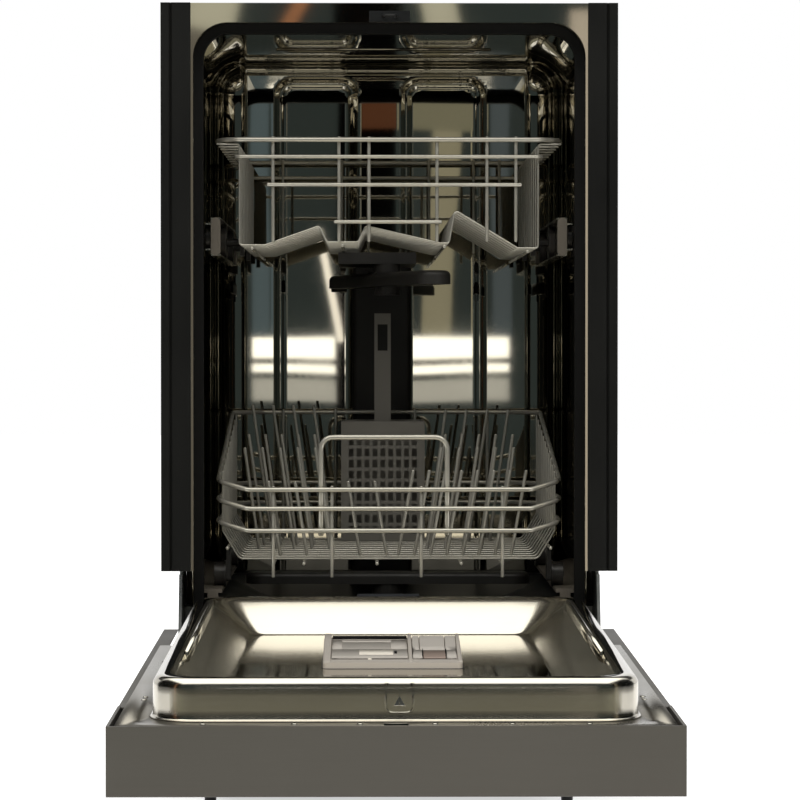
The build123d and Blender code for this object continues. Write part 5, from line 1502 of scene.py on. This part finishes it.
@dataclass
class Studio:
    """Camera, floor, white surround, soft lights and the cards that the steel mirrors."""

    eye: tuple[float, float, float] = (-25.0, -3064.0, 488.0)
    focal_px: float = 3125.0
    image_px: float = 800.0
    # The pixel at which lines that run straight back meet.
    depth_point: tuple[float, float] = (364.0, 347.0)
    sensor_mm: float = 36.0
    sight_m: float = 50.0
    soft_level: float = 0.25
    floor_m: float = 14.0
    floor_middle: tuple[float, float, float] = (0.0, 240.0, 0.0)
    # Distances in metres over which the floor pales, and its glow at both.
    pale_from_m: float = 0.3
    pale_to_m: float = 0.9
    pale_near: float = 0.6
    pale_far: float = 1.0
    table_y: float = -4500.0
    wing_x: float = 2090.0

    def camera(self) -> None:
        """Sets the camera at the photograph's angle."""
        data = bpy.data.cameras.new("studio_camera")
        data.sensor_width = self.sensor_mm
        data.lens = self.focal_px / self.image_px * data.sensor_width
        data.clip_end = self.sight_m
        made = add_object("studio_camera", data)
        middle = self.image_px / 2
        ahead = Vector(((middle - self.depth_point[0]) / self.focal_px, 1.0,
                        -(middle - self.depth_point[1]) / self.focal_px))
        made.location = place(Vector(self.eye))
        made.rotation_euler = ahead.to_track_quat("-Z", "Y").to_euler()
        bpy.context.scene.camera = made

    def surround(self) -> None:
        """Sets the white surround, with a plain grey level for diffuse light."""
        world = bpy.data.worlds.new("studio_surround")
        bpy.context.scene.world = world
        tree = emptied(world)
        soft = add_node(tree, "ShaderNodeBackground", inputs={
            "Color": linear("#f4f4f2"), "Strength": self.soft_level})
        white = add_node(tree, "ShaderNodeBackground", inputs={
            "Color": linear("#ffffff"), "Strength": 1.0})
        mixed = add_node(tree, "ShaderNodeMixShader", inputs={
            0: shown_rays(tree), 1: soft.outputs["Background"], 2: white.outputs["Background"]})
        add_node(tree, "ShaderNodeOutputWorld", inputs={"Surface": mixed.outputs["Shader"]})

    def floor(self) -> None:
        """Lays the pale floor."""
        made = bpy.data.materials.new("pale_studio_floor")
        tree = emptied(made)
        matt = add_node(tree, "ShaderNodeBsdfDiffuse", inputs={"Color": linear("#ecebe8")})
        # The floor pales to white away from the machine, and keeps its shadow near it.
        coords = add_node(tree, "ShaderNodeTexCoord")
        away = add_node(tree, "ShaderNodeVectorMath", {"operation": "LENGTH"}, {
            0: coords.outputs["Object"]})
        pale = add_node(tree, "ShaderNodeMapRange", inputs={
            "Value": away.outputs["Value"], "From Min": self.pale_from_m,
            "From Max": self.pale_to_m, "To Min": self.pale_near, "To Max": self.pale_far})
        lift = add_node(tree, "ShaderNodeMath", {"operation": "MULTIPLY"}, {
            0: shown_rays(tree), 1: pale.outputs["Result"]})
        glow = add_node(tree, "ShaderNodeEmission", inputs={
            "Color": linear("#ffffff"), "Strength": lift.outputs["Value"]})
        both = add_node(tree, "ShaderNodeAddShader", inputs={
            0: matt.outputs["BSDF"], 1: glow.outputs["Emission"]})
        add_node(tree, "ShaderNodeOutputMaterial", inputs={"Surface": both.outputs["Shader"]})
        size = self.floor_m
        laid = flat_sheet("studio_floor", [(-size, -size, 0), (size, -size, 0), (size, size, 0),
                                           (-size, size, 0)], made)
        laid.location = place(Vector(self.floor_middle))

    def lamp(self, name: str, at: Sequence[float], aim: Sequence[float], size: float,
             power: float) -> None:
        """Hangs a square soft box.

        Args:
            name: Its name.
            at: Its place in local millimetres.
            aim: What it points at.
            size: Its side in millimetres.
            power: Its power in watts.
        """
        data = bpy.data.lights.new(name, "AREA")
        data.shape = "SQUARE"
        data.size = size * MM
        data.energy = power
        made = add_object(name, data)
        made.location = place(Vector(at))
        aimed = place(Vector(aim)) - made.location
        made.rotation_euler = aimed.to_track_quat("-Z", "Y").to_euler()
        made.visible_glossy = False

    def cards(self) -> list[Card]:
        """The cards that the tub, the frame and the liner mirror.

        Returns:
            The cards, those for the tub first.
        """
        cards = [
            Card("slate_flag", (0, -4700, 2200), (9000, 4400), "#3a4242"),
            Card("lens_flag", (-18, -2560, 1200), (125, 2400), "#050505"),
            Card("slate_left", (-244, -2540, 760), (38, 500), "#63737b"),
            Card("slate_right", (262, -2540, 760), (40, 500), "#5c666c"),
            Card("beige_board", (138, -2530, 760), (60, 500), "#a8a38c", lean=3.0),
            Card("beige_head", (138, -2526, 985), (158, 90), "#a7a48c", 0.7),
            Card("white_rod", (-94, -2520, 615), (15, 240), "#fffaf0", 2.0, lean=-13.0),
            Card("copper_shade", (5, -2520, 992), (90, 100), "#8a5a40", 0.5)]
        y = self.table_y
        for side, x, wide in (("left", -213, 245), ("right", 230, 270)):
            cards += [
                Card("table_" + side, (x, y, 467), (wide, 94), "#fffdf6", 3.0),
                Card("table_edge_" + side, (x, y + 10, 450), (wide, 16), "#0b0c0d"),
                Card("table_front_" + side, (x, y, 372), (wide, 62), "#d6d6d0", 1.1)]
        cards += [
            Card("frame_strip_left", (-326, -2510, 500), (50, 1180), "#78736a"),
            Card("frame_strip_right", (365, -2510, 500), (44, 1180), "#dcd1c1"),
            Card("frame_head_left", (-293, -2505, 1105), (94, 110), "#d8d6c2", lean=12.0),
            Card("frame_head_copper", (-135, -2505, 1105), (24, 130), "#b9825e", lean=30.0),
            Card("frame_head_right", (106, -2505, 1105), (62, 110), "#d8d6c2", lean=-12.0),
            Card("copper_wall", (-1500, -1500, 900), (260, 2000), "#d8a27c", 1.2, turn=45.0),
            Card("cream_wall", (1500, -1500, 900), (260, 2000), "#e8dcc0", 1.2, turn=-45.0),
            Card("ceiling_box", (0, -700, 2300), (3200, 3000), "#fffdf6", 2.5, tilt=90.0),
            Card("floor_near", (0, -1500, 6), (3600, 900), "#a5a392", tilt=90.0),
            Card("floor_far", (0, -3320, 6), (9000, 2740), "#43413a", tilt=90.0),
            Card("worktop", (0, 330, 880), (2400, 740), "#1d1c1a", tilt=90.0)]
        for side, x in (("left", -self.wing_x), ("right", self.wing_x)):
            cards.append(Card("wing_" + side, (x, -1000, 1300), (3200, 2600), "#121414",
                              turn=90.0))
        return cards

    def build(self) -> None:
        """Sets up the whole studio."""
        bpy.context.scene.view_settings.view_transform = "Standard"
        self.camera()
        self.surround()
        self.floor()
        for card in self.cards():
            card.stand()
        self.lamp("key_box", (-1500, -2400, 2500), (0, 0, 400), 1600, 52)
        self.lamp("fill_box", (1700, -2200, 1900), (0, 0, 400), 1600, 32)
        self.lamp("back_box", (0, 2200, 2600), (0, 200, 500), 1800, 30)


def dress_cad_nodes() -> None:
    """Gives each CAD node that stays on show its material."""
    for name, finish in CAD_FINISHES.items():
        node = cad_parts[name]
        node.data.materials.clear()
        node.data.materials.append(finish.material())


def main() -> None:
    """Builds the pieces in order and sets up the studio."""
    logging.basicConfig(level=logging.INFO, format="%(name)s %(message)s")
    dress_cad_nodes()
    for assembly in (Tub(), Door(), Dispenser(), UpperRack(), LowerRack(), Studio()):
        assembly.build()
        LOG.info("%s done", type(assembly).__name__)
    bpy.context.view_layer.update()


if __name__ == "__main__":
    main()
